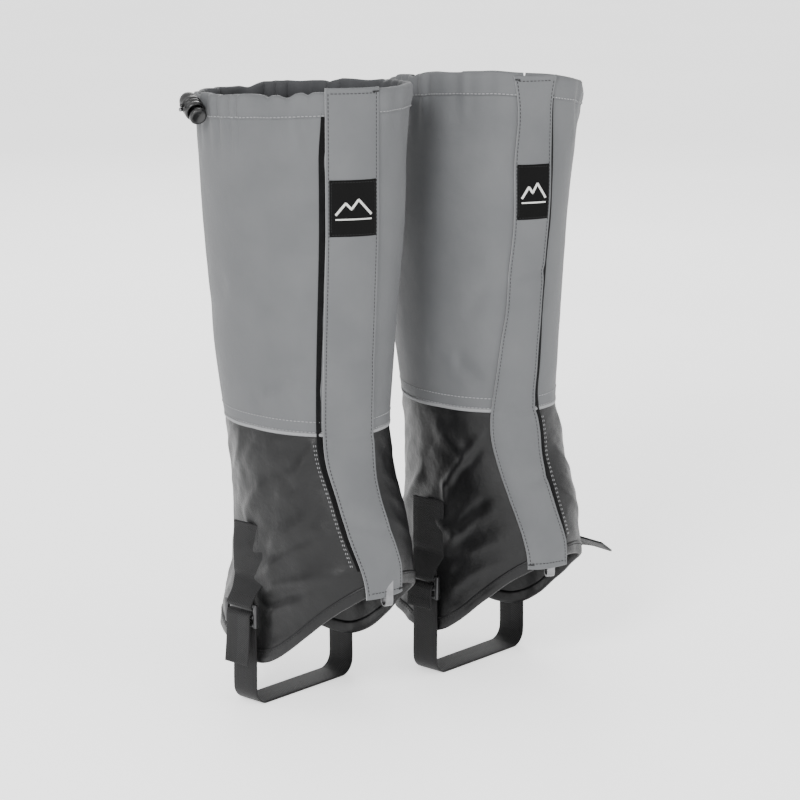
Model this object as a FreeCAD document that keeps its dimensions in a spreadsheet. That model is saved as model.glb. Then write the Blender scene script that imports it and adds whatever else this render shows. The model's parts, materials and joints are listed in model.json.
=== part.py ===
# A pair of knee-high hiking gaiters: two mirrored fabric tubes, each with a front flap, a drawcord
# with its lock round the top, and an under-foot strap held by two ladder buckles.
# Millimetres. +Z up, toes towards -Y, the wearer's right leg on -X. The origin lies on the plane
# of the straps' lowest faces, midway between the two legs.
import FreeCAD, Part
import math
import os

from FreeCAD import Placement, Rotation, Vector

doc = FreeCAD.newDocument("Gaiters")
sizes = doc.addObject("Spreadsheet::Sheet", "Sizes")

DRIVING_SIZES = [
    # where each leg stands
    ("stance_half", 74), ("stagger_half", 23),
    # the oval of the leg at eight levels: height, half depth (toe to heel), half width, shift to the heel
    ("rim_level", 484), ("rim_depth", 92), ("rim_width", 68), ("rim_shift", 7),
    ("calf_level", 375), ("calf_depth", 87), ("calf_width", 64), ("calf_shift", 8),
    ("shin_level", 280), ("shin_depth", 78), ("shin_width", 58.5), ("shin_shift", 8),
    ("cuff_level", 225), ("cuff_depth", 70), ("cuff_width", 54), ("cuff_shift", 4),
    ("ankle_level", 190), ("ankle_depth", 69), ("ankle_width", 52.5), ("ankle_shift", 0),
    ("instep_level", 150), ("instep_depth", 79), ("instep_width", 51), ("instep_shift", -9),
    ("foot_level", 95), ("foot_depth", 88), ("foot_width", 51), ("foot_shift", -9),
    ("sole_level", 20), ("sole_depth", 97), ("sole_width", 51), ("sole_shift", 2),
    # cloth
    ("cloth", 1.2), ("panel_seam_level", 222), ("right_rim", 476), ("right_rim_tilt", 4.35),
    ("left_rim", 471), ("left_rim_tilt", 11.5), ("left_rim_dip", 60),
    ("casing_height", 18), ("casing_depth", 5.6), ("casing_wall", 1.0), ("casing_end", 2.2),
    ("hem_height", 10), ("hem_proud", 0.7), ("hem_inside", 1.9),
    # flap, its tapes and the label
    ("flap_width", 40), ("flap_bottom", 99), ("flap_inside", 2.9), ("flap_outside", 3.9),
    ("slit_from_seam", 7), ("slit_gap", 0.6), ("binding_inside", 0.05), ("binding_outside", 2.4), ("binding_width", 5), ("loop_proud", 1.2), ("loop_beyond_flap", 5), ("loop_top", 474),
    ("loop_bottom", 119), ("hook_inside", 1.6), ("hook_outside", 2.5), ("hook_width", 25),
    ("hook_margin", 3), ("label_wide", 34), ("label_tall", 42), ("label_centre", 396),
    ("label_thick", 0.7),
    # drawcord and its lock
    ("cord_diameter", 2.6), ("lock_radius", 7.2), ("lock_length", 15), ("lock_bore", 5.4),
    ("plunger_radius", 5.1), ("plunger_travel", 3.5), ("button_radius", 6.6), ("button_thick", 3.2),
    ("lock_below_rim", 10), ("lock_angle", 119), ("lock_standoff", 9.8), ("cord_pitch", 3.6),
    ("eyelet_radius", 4.4), ("eyelet_thick", 0.8), ("eyelet_gap", 0.45), ("spring_radius", 3.2), ("spring_wire", 0.3),
    ("spring_length", 3.2), ("spring_pitch", 0.8),
    # tabs, buckles and the under-foot strap
    ("strap_width", 25), ("strap_thick", 1.6), ("right_strap_along", 21), ("left_strap_along", 12), ("strap_corner", 12),
    ("bar_out", 57.5), ("bar_level", 82), ("bar_radius", 1.6), ("bar_step", 9), ("bar_play", 0.08), ("strap_play", 1.15),
    ("buckle_arm", 3.4), ("buckle_inner", 27.2), ("lip_drop", 6.5), ("tab_wide", 32),
    ("tab_top", 144), ("tab_foot", 98), ("tab_loop", 26.4), ("tab_thick", 1.4),
    ("loose_tail", 38), ("sewn_tail", 16), ("left_tail", 3),
    # lace hook
    ("lace_hook_wide", 6), ("lace_hook_thick", 1.2), ("lace_hook_bend", 4), ("lace_plate_tall", 13), ("lace_plate_gap", 1.5),
    ("lace_level", 96),
]
for row, (alias, value) in enumerate(DRIVING_SIZES, start=1):
    sizes.set("A%d" % row, alias)
    sizes.set("B%d" % row, str(value))
    sizes.setAlias("B%d" % row, alias)
doc.recompute()


def size(alias):
    return float(sizes.get(alias))


LEVELS = ["sole", "foot", "instep", "ankle", "cuff", "shin", "calf", "rim"]
# how far each level takes part in a leg that is turned about its axis
TURN_SHARE = {"sole": 0, "foot": 0, "instep": 0, "ankle": 0.2, "cuff": 0.5, "shin": 0.8, "calf": 1, "rim": 1}
# the flap's middle, sideways from the leg's axis, at the levels where its course bends
FLAP_COURSE = {
    "right": [("sole", -8.5), ("foot", -8.5), ("instep", -21.0), ("cuff", -21.0), ("rim", -31.0)],
    "left": [("sole", -16.5), ("foot", -16.5), ("instep", -26.0), ("cuff", -28.5), ("rim", -31.0)],
}
SIDES = {
    # outward: which way the wearer's outer side lies; turn: of the leg, in degrees; lean: of its top
    "right": {"outward": -1, "turn": 0.0, "lean": (0.0, 0.0)},
    "left": {"outward": 1, "turn": -16.0, "lean": (6.0, -2.0)},
}
UP = Vector(0, 0, 1)
CORD_END = 1.5
ALONG_Y = Rotation(Vector(1, 0, 0), -90)
kept = []


def keep(obj, label):
    """Marks an object as a sub-part; its label names its file."""
    obj.Label = label
    kept.append(obj)
    return obj


def between(height, pairs):
    """Straight-line value at a height from (height, value) pairs in rising order."""
    if height <= pairs[0][0]:
        return pairs[0][1]
    for (low, first), (high, second) in zip(pairs, pairs[1:]):
        if height <= high:
            return first + (second - first) * (height - low) / (high - low)
    return pairs[-1][1]


def at_height(height, what):
    return between(height, [(size(level + "_level"), what(level)) for level in LEVELS])


class Leg:
    """The leg form of one side: its oval at any height, and places on it."""

    def __init__(self, side):
        self.side = side
        self.outward = SIDES[side]["outward"]
        self.strap_along = size(side + "_strap_along")
        self.rim = size(side + "_rim")
        self.rim_tilt = size(side + "_rim_tilt")
        # the rim dips towards the heel, and on the left leg towards its outer side too
        self.rim_dip = size("left_rim_dip") if side == "left" else 0.0
        self.axis = Vector(self.outward * size("stance_half"), -self.outward * size("stagger_half"), 0)

    def oval(self, height):
        """Half depth, half width, turn in radians and the centre."""
        depth = at_height(height, lambda level: size(level + "_depth"))
        width = at_height(height, lambda level: size(level + "_width"))
        shift = at_height(height, lambda level: size(level + "_shift"))
        turn = SIDES[self.side]["turn"] * at_height(height, lambda level: TURN_SHARE[level])
        lean = at_height(height, lambda level: 1.0 if level == "rim" else 0.0)
        lean_x, lean_y = SIDES[self.side]["lean"]
        centre = self.axis + Vector(lean * lean_x, shift + lean * lean_y, height)
        return depth, width, math.radians(turn), centre

    def place(self, height, angle, offset=0.0):
        """The point at an angle from straight ahead, + towards +X, an offset outside the form."""
        depth, width, turn, centre = self.oval(height)
        x = (width + offset) * math.sin(angle)
        y = -(depth + offset) * math.cos(angle)
        return centre + Vector(x * math.cos(turn) - y * math.sin(turn), x * math.sin(turn) + y * math.cos(turn), 0)

    def normal(self, height, angle):
        """The level direction straight out of the form at an angle."""
        depth, width, turn, centre = self.oval(height)
        x, y = math.sin(angle) / width, -math.cos(angle) / depth
        return Rotation(UP, math.degrees(turn)).multVec(Vector(x, y, 0).normalize())

    def flap_angle(self, height, across):
        """The angle of a line that runs along the flap, across it from its middle; + is the sewn side."""
        depth, width, turn, centre = self.oval(height)
        middle = between(height, [(size(level + "_level"), x) for level, x in FLAP_COURSE[self.side]])
        reach = math.hypot(width * math.cos(turn), depth * math.sin(turn))
        swing = math.atan2(depth * math.sin(turn), width * math.cos(turn))
        angle = math.asin((middle - (centre.x - self.axis.x)) / reach) - swing
        speed = math.hypot(width * math.cos(angle), depth * math.sin(angle))
        return angle - self.outward * across / speed

    def section(self, height, start, end, inner, outer, tilt=0.0):
        """A closed arc-shaped outline round the form, between two angles and two offsets."""
        depth, width, turn, centre = self.oval(height)
        arcs = [Part.Ellipse(Vector(), depth + offset, width + offset).toShape(start, end)
                for offset in (outer, inner)]
        ends = [Part.makeLine(arcs[0].valueAt(arcs[0].getParameterByLength(where)),
                              arcs[1].valueAt(arcs[1].getParameterByLength(also)))
                for where, also in ((0, 0), (arcs[0].Length, arcs[1].Length))]
        wire = Part.Wire(Part.__sortEdges__([arcs[0], ends[1], arcs[1], ends[0]]))
        wire.Placement = Placement(centre, self.tilted(tilt) * Rotation(UP, math.degrees(turn) - 90))
        return wire

    def tilted(self, tilt):
        """The rotation that lowers the side towards which the rim dips."""
        return Rotation(Rotation(UP, -self.rim_dip).multVec(Vector(1, 0, 0)), -tilt)

    def rim_at(self, angle):
        """The height of the rim at an angle round the form."""
        centre = self.oval(self.rim)[3]
        across = self.place(self.rim, angle) - centre
        towards = Rotation(UP, -self.rim_dip).multVec(Vector(0, 1, 0))
        return self.rim - across.dot(towards) * math.tan(math.radians(self.rim_tilt))


def loft(label, wires):
    """A solid with straight sides through a pile of outlines."""
    sections = []
    for index, wire in enumerate(wires):
        outline = doc.addObject("Part::Feature", "%s_outline_%d" % (label, index))
        outline.Shape = wire
        sections.append(outline)
    solid = doc.addObject("Part::Loft", label)
    solid.Sections, solid.Solid, solid.Ruled = sections, True, True
    return solid


def heights_between(low, high):
    levels = [size(level + "_level") for level in LEVELS]
    halfway = [(first + second) / 2 for first, second in zip(levels, levels[1:])]
    return [low] + [height for height in sorted(levels + halfway) if low + 1 < height < high - 1] + [high]


def wrap(leg, label, low, high, inner, outer, start, end):
    """A layer of cloth on the form between two heights; start and end give its edges' angles."""
    wires = []
    for height in heights_between(low, high):
        edges = sorted((start(height), end(height)))
        wires.append(leg.section(height, edges[0], edges[1], inner, outer))
    return loft(label, wires)


def feature(name, shape):
    obj = doc.addObject("Part::Feature", name)
    obj.Shape = shape
    return obj


def pair(kind, name, base, tool):
    shape = doc.addObject(kind, name)
    shape.Base, shape.Tool = base, tool
    return shape


def cut(name, base, tool):
    return pair("Part::Cut", name, base, tool)


def common(name, base, tool):
    return pair("Part::Common", name, base, tool)


def fuse(name, *shapes):
    shape = doc.addObject("Part::MultiFuse", name)
    shape.Shapes = list(shapes)
    return shape


def box(name, low, spans):
    """A box from its lowest corner; each span is an expression on the sheet or a number."""
    shape = doc.addObject("Part::Box", name)
    for prop, span in zip(("Length", "Width", "Height"), spans):
        if isinstance(span, str):
            shape.setExpression(prop, span)
        else:
            setattr(shape, prop, span)
    shape.Placement = Placement(low, Rotation())
    return shape


def rod(name, base, direction, radius, length):
    """A cylinder from a base point along a direction; its sizes are expressions or numbers."""
    shape = doc.addObject("Part::Cylinder", name)
    for prop, span in (("Radius", radius), ("Height", length)):
        if isinstance(span, str):
            shape.setExpression(prop, span)
        else:
            setattr(shape, prop, span)
    shape.Placement = Placement(base, Rotation(UP, direction))
    return shape


# ---------------------------------------------------------------- cloth

def above_hem(leg, name, lift):
    """Everything above the bottom edge, which dips at the strap and climbs over the instep."""
    heel, strap, toe = Vector(0, 130, 44), Vector(0, 8, 34), Vector(0, -150, 104)
    curve = Part.BSplineCurve()
    curve.interpolate([heel, Vector(0, 50, 40), strap, Vector(0, -34, 62), Vector(0, -80, 99), toe])
    roof = 400
    edges = [curve.toShape(), Part.makeLine(toe, Vector(0, toe.y, roof)),
             Part.makeLine(Vector(0, toe.y, roof), Vector(0, heel.y, roof)),
             Part.makeLine(Vector(0, heel.y, roof), heel)]
    face = Part.Face(Part.Wire(edges))
    reach = 150
    face.translate(leg.axis + Vector(-reach, 0, lift))
    return feature(name, face.extrude(Vector(2 * reach, 0, 0)))


def build_cloth(leg):
    """Panels, rim casing and bottom hem; all are open along the slit under the flap."""
    side = leg.side
    across = size("flap_width") / 2 - size("slit_from_seam")
    seam, cloth = size("panel_seam_level"), size("cloth")

    def slit(height):
        return leg.flap_angle(height, across)

    def back_from_outside(height):
        return leg.outward * math.pi

    def back_from_inside(height):
        return -leg.outward * math.pi

    halves = {"outer": (back_from_outside, -1), "inner": (back_from_inside, 1)}
    for half, (back, away) in halves.items():
        def edge(height):
            return leg.flap_angle(height, across + away * size("slit_gap") / 2)

        wires = []
        for height in heights_between(seam, leg.rim - size("casing_height")):
            edges = sorted((edge(height), back(height)))
            tilt = leg.rim_tilt if height > size("calf_level") else 0
            wires.append(leg.section(height, edges[0], edges[1], -cloth, 0, tilt))
        keep(loft("%s_upper_%s_wrap" % (side, half), wires), "%s_upper_%s_panel" % (side, half))
        whole = wrap(leg, "%s_lower_%s_wrap" % (side, half), size("sole_level"), seam, -cloth, 0, edge, back)
        over_fold = above_hem(leg, "%s_%s_over_fold" % (side, half), size("hem_height"))
        keep(common("%s_lower_%s_cut" % (side, half), whole, over_fold), "%s_lower_%s_panel" % (side, half))

    def ring(name, heights, inner, outer, margin, tilt):
        wires = []
        for height in heights:
            gap = margin / size("foot_depth")
            angle = slit(height)
            wires.append(leg.section(height, angle + gap, angle + 2 * math.pi - gap, inner, outer, tilt))
        return loft(name, wires)

    hem = ring(side + "_hem_wrap", heights_between(size("sole_level"), seam - 40),
               -size("hem_inside"), size("hem_proud"), 0.3, 0)
    hem_above = common(side + "_hem_above", hem, above_hem(leg, side + "_hem_line", 0))
    keep(cut(side + "_hem_cut", hem_above, above_hem(leg, side + "_fold_line", size("hem_height"))),
         side + "_bottom_hem")

    top, low = leg.rim, leg.rim - size("casing_height")
    block = ring(side + "_casing_block", [low, top], -size("casing_depth"), 0, 0.3, leg.rim_tilt)
    wall, end = size("casing_wall"), size("casing_end")
    channel = ring(side + "_channel", [low + end, top - end], wall - size("casing_depth"), -wall, 0.1, leg.rim_tilt)
    mouths = fuse(side + "_mouths", channel, *cord_rods(leg, "_mouth", 0.2, 9))
    keep(cut(side + "_casing_cut", block, mouths), side + "_top_casing")


def build_front(leg):
    """The flap, its two tapes and the label."""
    side, half = leg.side, size("flap_width") / 2
    seam, slit = size("panel_seam_level"), size("flap_width") / 2 - size("slit_from_seam")

    def strip(label, low, high, inner, outer, near, far):
        return keep(wrap(leg, label + "_wrap", low, high, inner, outer,
                         lambda height: leg.flap_angle(height, near),
                         lambda height: leg.flap_angle(height, far)), label)

    inside, outside = size("flap_inside"), size("flap_outside")
    strip(side + "_front_flap", seam + 0.5, size("rim_level"), inside, outside, -half, half)
    strip(side + "_front_flap_foot", size("flap_bottom"), seam, inside, outside, -half, half)
    strip(side + "_loop_tape", size("loop_bottom"), size("loop_top"), 0.05, size("loop_proud"),
          -half - size("loop_beyond_flap"), slit - 1)
    strip(side + "_flap_binding", size("loop_bottom"), size("loop_top") - 2, size("binding_inside"),
          size("binding_outside"), half - size("binding_width"), half)
    edge = size("hook_margin") - half
    strip(side + "_hook_tape", seam + 4, size("loop_top") - 6, size("hook_inside"), size("hook_outside"),
          edge, edge + size("hook_width"))
    strip(side + "_hook_tape_foot", size("loop_bottom") + 4, seam - 2, size("hook_inside"), size("hook_outside"),
          edge, edge + size("hook_width"))
    low, wide = size("label_centre") - size("label_tall") / 2, size("label_wide") / 2
    strip(side + "_label", low, low + size("label_tall"), outside + 0.05, outside + size("label_thick"), -wide, wide)


# ---------------------------------------------------------------- drawcord and its lock

def lock_frame(leg):
    """The lock's middle, the way its cords leave the casing, and its barrel's axis to the button."""
    angle = leg.outward * math.radians(size("lock_angle"))
    level = leg.rim_at(angle) - size("lock_below_rim")
    out = leg.normal(level, angle)
    forward = UP.cross(out) * -leg.outward
    middle = leg.place(level, angle) + out * size("lock_standoff")
    return middle, out, (forward * 0.9 - UP * 0.436).normalize()


def cord_rods(leg, tag, slack, reach_in):
    """Two straight cord lengths side by side, through the casing's wall and the lock."""
    middle, out, barrel = lock_frame(leg)
    rods = []
    for index, aside in enumerate((-0.5, 0.5)):
        start = middle + barrel.cross(out) * (aside * size("cord_pitch")) - out * (size("lock_radius") + reach_in)
        rods.append(rod("%s%s_%d" % (leg.side, tag, index), start, out,
                        "Sizes.cord_diameter / 2 + %g" % slack, "2 * Sizes.lock_radius + %g" % (reach_in + CORD_END)))
    return rods


def build_drawcord(leg):
    """The elastic cord in the casing, from one end of the slit to the other."""
    height = leg.rim - size("casing_height") / 2
    depth, width, turn, centre = leg.oval(height)
    across = size("flap_width") / 2 - size("slit_from_seam")
    inset = -size("casing_depth") / 2
    angle = leg.flap_angle(height, across)
    gap = 0.06
    path = Part.Ellipse(Vector(), depth + inset, width + inset).toShape(angle + gap, angle + 2 * math.pi - gap)
    ring = Part.makeCircle(size("cord_diameter") / 2, path.valueAt(path.FirstParameter),
                           path.tangentAt(path.FirstParameter))
    cord = Part.Wire([path]).makePipeShell([Part.Wire([ring])], True, True)
    cord.Placement = Placement(centre, leg.tilted(leg.rim_tilt) * Rotation(UP, math.degrees(turn) - 90))
    keep(feature(leg.side + "_cord", cord), leg.side + "_drawcord")


def build_lock(leg):
    """Barrel lock: a domed barrel, a sprung plunger with a round button, and the cords through both."""
    side = leg.side
    middle, out, barrel = lock_frame(leg)
    length, travel, bore = size("lock_length"), size("plunger_travel"), size("lock_bore")
    dome_end = middle - barrel * (length / 2)
    mouth = middle + barrel * (length / 2)

    tube = rod(side + "_tube", dome_end, barrel, "Sizes.lock_radius", "Sizes.lock_length")
    dome = doc.addObject("Part::Sphere", side + "_dome")
    dome.setExpression("Radius", "Sizes.lock_radius")
    dome.Angle1, dome.Angle2 = 0, 90
    dome.Placement = Placement(dome_end, Rotation(UP, barrel * -1))
    solid = fuse(side + "_barrel", tube, dome)
    hollow = rod(side + "_bore", dome_end - barrel * 2, barrel, "Sizes.lock_bore", "Sizes.lock_length + 4")
    bored = cut(side + "_bored", solid, hollow)
    keep(cut(side + "_lock_holes", bored, fuse(side + "_lock_cuts", *cord_rods(leg, "_hole", 0.25, 6))),
         side + "_cord_lock")

    # the plunger's slot lets it move along the barrel past the cords
    stem_top = dome_end + barrel * 3.2
    stem = rod(side + "_stem", stem_top, barrel, "Sizes.plunger_radius", length - 3.2 + travel + 0.4)
    head = rod(side + "_head", mouth + barrel * (travel + 0.4), barrel, "Sizes.button_radius", "Sizes.button_thick")
    well = rod(side + "_well", stem_top - barrel, barrel, 3.9, 3.4)
    hole_span = 2 * (bore + 3)
    slot = box(side + "_slot", Vector(-hole_span / 2, -size("cord_diameter") / 2 - 0.2, -size("cord_pitch")),
               (hole_span, 0, 0))
    slot.setExpression("Width", "Sizes.cord_diameter + 0.4 + Sizes.plunger_travel")
    slot.setExpression("Height", "2 * Sizes.cord_pitch")
    slot.Placement = Placement(middle, Rotation(out, barrel, out.cross(barrel), "ZYX")) * slot.Placement
    plunger = fuse(side + "_plunger", stem, head)
    keep(cut(side + "_plunger_cut", plunger, fuse(side + "_plunger_cuts", well, slot)), side + "_lock_button")

    coil = Part.makeHelix(size("spring_pitch"), size("spring_length"), size("spring_radius"))
    wire = Part.Wire([Part.makeCircle(size("spring_wire"), Vector(size("spring_radius"), 0, 0), Vector(0, 1, 0))])
    spring = Part.Wire(coil).makePipeShell([wire], True, True)
    spring.Placement = Placement(dome_end - barrel * (size("spring_length") / 2), Rotation(UP, barrel))
    keep(feature(side + "_spring_coil", spring), side + "_lock_spring")

    # the cords reach from inside the casing to just past the lock's outer face
    reach = size("lock_standoff") - size("lock_radius") + size("casing_wall")
    keep(fuse(side + "_cord_pair", *cord_rods(leg, "_lead", 0, reach)), side + "_cord_ends")
    plate = rod(side + "_plate", middle - out * (size("lock_standoff") - size("eyelet_gap")), out, "Sizes.eyelet_radius",
                "Sizes.eyelet_thick")
    keep(cut(side + "_eyelet_cut", plate, fuse(side + "_eyelet_cuts", *cord_rods(leg, "_eye", 0.25, 6))),
         side + "_cord_eyelet")


# ---------------------------------------------------------------- tabs, buckles and the strap

def hinge_point(leg, way):
    """The middle of a buckle's top bar; way is +1 on the outer side and -1 on the inner side."""
    return leg.axis + Vector(way * leg.outward * size("bar_out"), leg.strap_along, size("bar_level"))


def build_tab(leg, way, label):
    """Webbing sewn to the lower panel, ending in a loop round the buckle's top bar."""
    bar = hinge_point(leg, way)
    side_sign = way * leg.outward
    half = size("tab_wide") / 2

    def edge(height, along):
        depth, width, turn, centre = leg.oval(height)
        return side_sign * math.acos(-(along - (centre.y - leg.axis.y)) / depth)

    wires = []
    foot = size("bar_level") + 3.0
    grow = side_sign * size("tab_thick") / 2
    near, far = bar.y - size("tab_loop") / 2, bar.y + size("tab_loop") / 2
    corners = [Vector(bar.x + grow, near, foot), Vector(bar.x + grow, far, foot),
               Vector(bar.x - grow, far, foot), Vector(bar.x - grow, near, foot)]
    wires.append(Part.makePolygon(corners + corners[:1]))
    for height in (size("tab_foot"), 120, size("tab_top")):
        angles = sorted((edge(height, leg.strap_along - half), edge(height, leg.strap_along + half)))
        wires.append(leg.section(height, angles[0], angles[1], 0.05, size("tab_thick")))
    blade = loft(label + "_blade", wires)
    start = Vector(bar.x, near, bar.z)
    ring = rod(label + "_ring", start, Vector(0, 1, 0), "Sizes.bar_radius + Sizes.bar_play + Sizes.tab_thick",
               "Sizes.tab_loop")
    eye = rod(label + "_eye", start - Vector(0, 1, 0), Vector(0, 1, 0), "Sizes.bar_radius + Sizes.bar_play",
              "Sizes.tab_loop + 2")
    keep(cut(label + "_loop", fuse(label + "_body", blade, ring), eye), label)


def build_buckle(leg, way, label):
    """A ladder buckle: two arms, a round top bar, the bar the strap wraps, and a lipped lower bar."""
    bar = hinge_point(leg, way)
    inner, arm = size("buckle_inner") / 2, size("buckle_arm")
    radius, step, lip = size("bar_radius"), size("bar_step"), size("lip_drop")
    across = Vector(0, 1, 0)
    pieces = []
    for index, near in enumerate((-inner - arm, inner)):
        low = Vector(bar.x - radius, bar.y + near, bar.z - step - lip - radius)
        pieces.append(box("%s_arm_%d" % (label, index), low,
                          ("2 * Sizes.bar_radius", "Sizes.buckle_arm",
                           "Sizes.bar_step + Sizes.lip_drop + 2 * Sizes.bar_radius")))
    start = bar - across * (inner + 0.5)
    for index, drop in enumerate((0, step, step + lip)):
        pieces.append(rod("%s_bar_%d" % (label, index), start - UP * drop, across, "Sizes.bar_radius",
                          "Sizes.buckle_inner + 1"))
    keep(fuse(label + "_frame", *pieces), label)


def ribbon(name, edges, along):
    """Webbing along a flat path, its width lying along Y."""
    path = Part.Wire(edges)
    outline = path.makeOffset2D(size("strap_thick") / 2, 0, False, False)
    outline.translate(Vector(0, along - size("strap_width") / 2, 0))
    obj = doc.addObject("Part::Extrusion", name)
    obj.Base = feature(name + "_outline", outline)
    obj.Dir = Vector(0, 1, 0)
    obj.setExpression("LengthFwd", "Sizes.strap_width")
    obj.Solid = True
    return obj


def build_strap(leg, label, tails):
    """The under-foot strap: up each side, round the buckle's middle bar and back down outside."""
    turn_radius = size("bar_radius") + size("strap_play") + size("strap_thick") / 2
    peak = size("bar_level") - size("bar_step")
    bend = size("strap_corner")
    floor = size("strap_thick") / 2
    edges = []
    centre = leg.axis
    for sign in (-1, 1):
        mirror = lambda x, z: centre + Vector(sign * leg.outward * x, 0, z)
        bar_x = size("bar_out")
        run, back = bar_x - turn_radius, bar_x + turn_radius
        tail = tails[sign]
        edges.append(Part.makeLine(mirror(back, peak - tail), mirror(back, peak)))
        edges.append(Part.Arc(mirror(back, peak), mirror(bar_x, peak + turn_radius), mirror(run, peak)).toShape())
        edges.append(Part.makeLine(mirror(run, peak), mirror(run, floor + bend)))
        slant = bend * (1 - math.sqrt(0.5))
        edges.append(Part.Arc(mirror(run, floor + bend), mirror(run - slant, floor + slant),
                              mirror(run - bend, floor)).toShape())
    run = size("bar_out") - turn_radius - bend
    edges.append(Part.makeLine(centre + Vector(-run, 0, floor), centre + Vector(run, 0, floor)))
    return ribbon(label + "_run", Part.__sortEdges__(edges), leg.strap_along)


def forward_tail(leg):
    """The strap's long free end, which twists out of the outer buckle and stands forwards."""
    out = leg.outward
    clear = size("bar_radius") + size("strap_play") + 1.5 * size("strap_thick") + 0.02
    start = hinge_point(leg, 1) + Vector(out * clear, 0, -size("bar_step"))
    half, thick = size("strap_width") / 2, size("strap_thick") / 2
    # middle of the webbing, the way across it and its face's direction, from the buckle to the tip
    stations = [((0, 0, -3), (0, -1, 0), (1, 0, 0)),
                ((0.3, 0, 1), (0, -1, 0), (1, 0, 0.2)),
                ((4.3, -6, 9), (0.25, -0.9, -0.35), (0.75, 0, 0.65)),
                ((10.3, -26, 17), (0.8, -0.25, -0.55), (0.5, 0, 0.85)),
                ((12.3, -52, 21), (0.85, 0.1, -0.5), (0.5, 0, 0.86)),
                ((14.3, -80, 19), (0.84, 0.2, -0.5), (0.5, 0, 0.86))]
    wires = []
    for middle, across, face in stations:
        across = Vector(out * across[0], across[1], across[2]).normalize()
        face = Vector(out * face[0], face[1], face[2])
        face = (face - across * face.dot(across)).normalize()
        centre = start + Vector(out * middle[0], middle[1], middle[2])
        corners = [centre + across * (half * u) + face * (thick * v) for u, v in ((-1, -1), (1, -1), (1, 1), (-1, 1))]
        wires.append(Part.makePolygon(corners + corners[:1]))
    return loft(leg.side + "_tail_blade", wires)


def build_stirrup(leg):
    side = leg.side
    for way, name in ((1, "outer"), (-1, "inner")):
        build_tab(leg, way, "%s_%s_tab" % (side, name))
        build_buckle(leg, way, "%s_%s_buckle" % (side, name))
    if side == "left":
        run = build_strap(leg, side + "_strap", {1: size("left_tail"), -1: size("sewn_tail")})
        keep(run, side + "_instep_strap")
        keep(forward_tail(leg), side + "_strap_tail")
    else:
        keep(build_strap(leg, side + "_strap", {1: size("loose_tail"), -1: size("sewn_tail")}),
             side + "_instep_strap")


# ---------------------------------------------------------------- lace hook

def build_lace_hook(leg):
    """A flat wire hook behind the flap's foot, riveted through the hem, open towards the leg."""
    side = leg.side
    height = size("lace_level") + 9
    angle = leg.flap_angle(height, 0)
    face = leg.place(height, angle, -size("hem_inside") - size("lace_plate_gap"))
    normal = leg.normal(height, angle)
    inward = normal * -1
    thick, bend, tall = size("lace_hook_thick"), size("lace_hook_bend"), size("lace_plate_tall")
    top = face + UP * (tall / 2) + inward * (thick / 2)
    low = face - UP * (tall / 2 + 3) + inward * (thick / 2)
    tip = low + inward * (2 * bend)
    path = Part.Wire([Part.makeLine(top, low), Part.Arc(low, low + inward * bend - UP * bend, tip).toShape(),
                      Part.makeLine(tip, tip + UP * 4)])
    outline = path.makeOffset2D(thick / 2, 0, False, False)
    sideways = normal.cross(UP)
    outline.translate(sideways * (-size("lace_hook_wide") / 2))
    blade = doc.addObject("Part::Extrusion", side + "_hook_blade")
    blade.Base = feature(side + "_hook_outline", outline)
    blade.Dir = sideways
    blade.setExpression("LengthFwd", "Sizes.lace_hook_wide")
    blade.Solid = True
    keep(blade, side + "_lace_hook")


for side_name in SIDES:
    this_leg = Leg(side_name)
    build_cloth(this_leg)
    build_front(this_leg)
    build_drawcord(this_leg)
    build_lock(this_leg)
    build_stirrup(this_leg)
    build_lace_hook(this_leg)

doc.recompute()

for shape in doc.Objects:
    if {"Invalid", "Error"} & set(shape.State):
        raise RuntimeError("failed: %s %s" % (shape.Label, shape.State))
for shape in kept:
    if shape.Shape.isNull() or not shape.Shape.isValid() or not shape.Shape.Solids:
        raise RuntimeError("bad shape: " + shape.Label)

os.makedirs("parts", exist_ok=True)
for shape in kept:
    shape.Shape.exportStep("parts/%s.step" % shape.Label)
    extent = shape.Shape.BoundBox
    print("%-26s solids %d  %8.0f mm3  x %5.0f %5.0f  y %5.0f %5.0f  z %5.0f %5.0f"
          % (shape.Label, len(shape.Shape.Solids), shape.Shape.Volume, extent.XMin, extent.XMax,
             extent.YMin, extent.YMax, extent.ZMin, extent.ZMax))
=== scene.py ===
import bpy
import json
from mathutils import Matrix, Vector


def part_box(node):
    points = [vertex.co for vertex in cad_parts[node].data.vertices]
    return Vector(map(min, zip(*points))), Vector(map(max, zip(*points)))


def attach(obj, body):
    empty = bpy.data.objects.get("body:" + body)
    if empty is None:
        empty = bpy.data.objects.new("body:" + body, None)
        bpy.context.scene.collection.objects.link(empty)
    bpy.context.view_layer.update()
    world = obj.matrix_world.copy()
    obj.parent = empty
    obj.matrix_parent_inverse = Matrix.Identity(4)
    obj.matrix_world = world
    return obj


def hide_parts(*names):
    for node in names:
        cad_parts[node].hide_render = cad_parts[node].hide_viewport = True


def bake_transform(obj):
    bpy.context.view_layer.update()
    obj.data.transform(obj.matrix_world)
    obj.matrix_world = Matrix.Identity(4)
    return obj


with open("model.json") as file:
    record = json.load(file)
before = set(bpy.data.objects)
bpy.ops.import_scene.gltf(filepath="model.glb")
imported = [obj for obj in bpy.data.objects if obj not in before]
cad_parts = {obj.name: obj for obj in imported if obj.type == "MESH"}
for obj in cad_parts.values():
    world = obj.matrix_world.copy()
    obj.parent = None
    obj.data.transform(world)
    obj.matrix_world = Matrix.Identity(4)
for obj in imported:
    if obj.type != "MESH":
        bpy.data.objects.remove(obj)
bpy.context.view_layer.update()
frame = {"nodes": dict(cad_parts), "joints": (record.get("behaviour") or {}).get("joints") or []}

import json
import math

import bpy
import numpy as np
from mathutils import Vector
from mathutils.bvhtree import BVHTree

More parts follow.
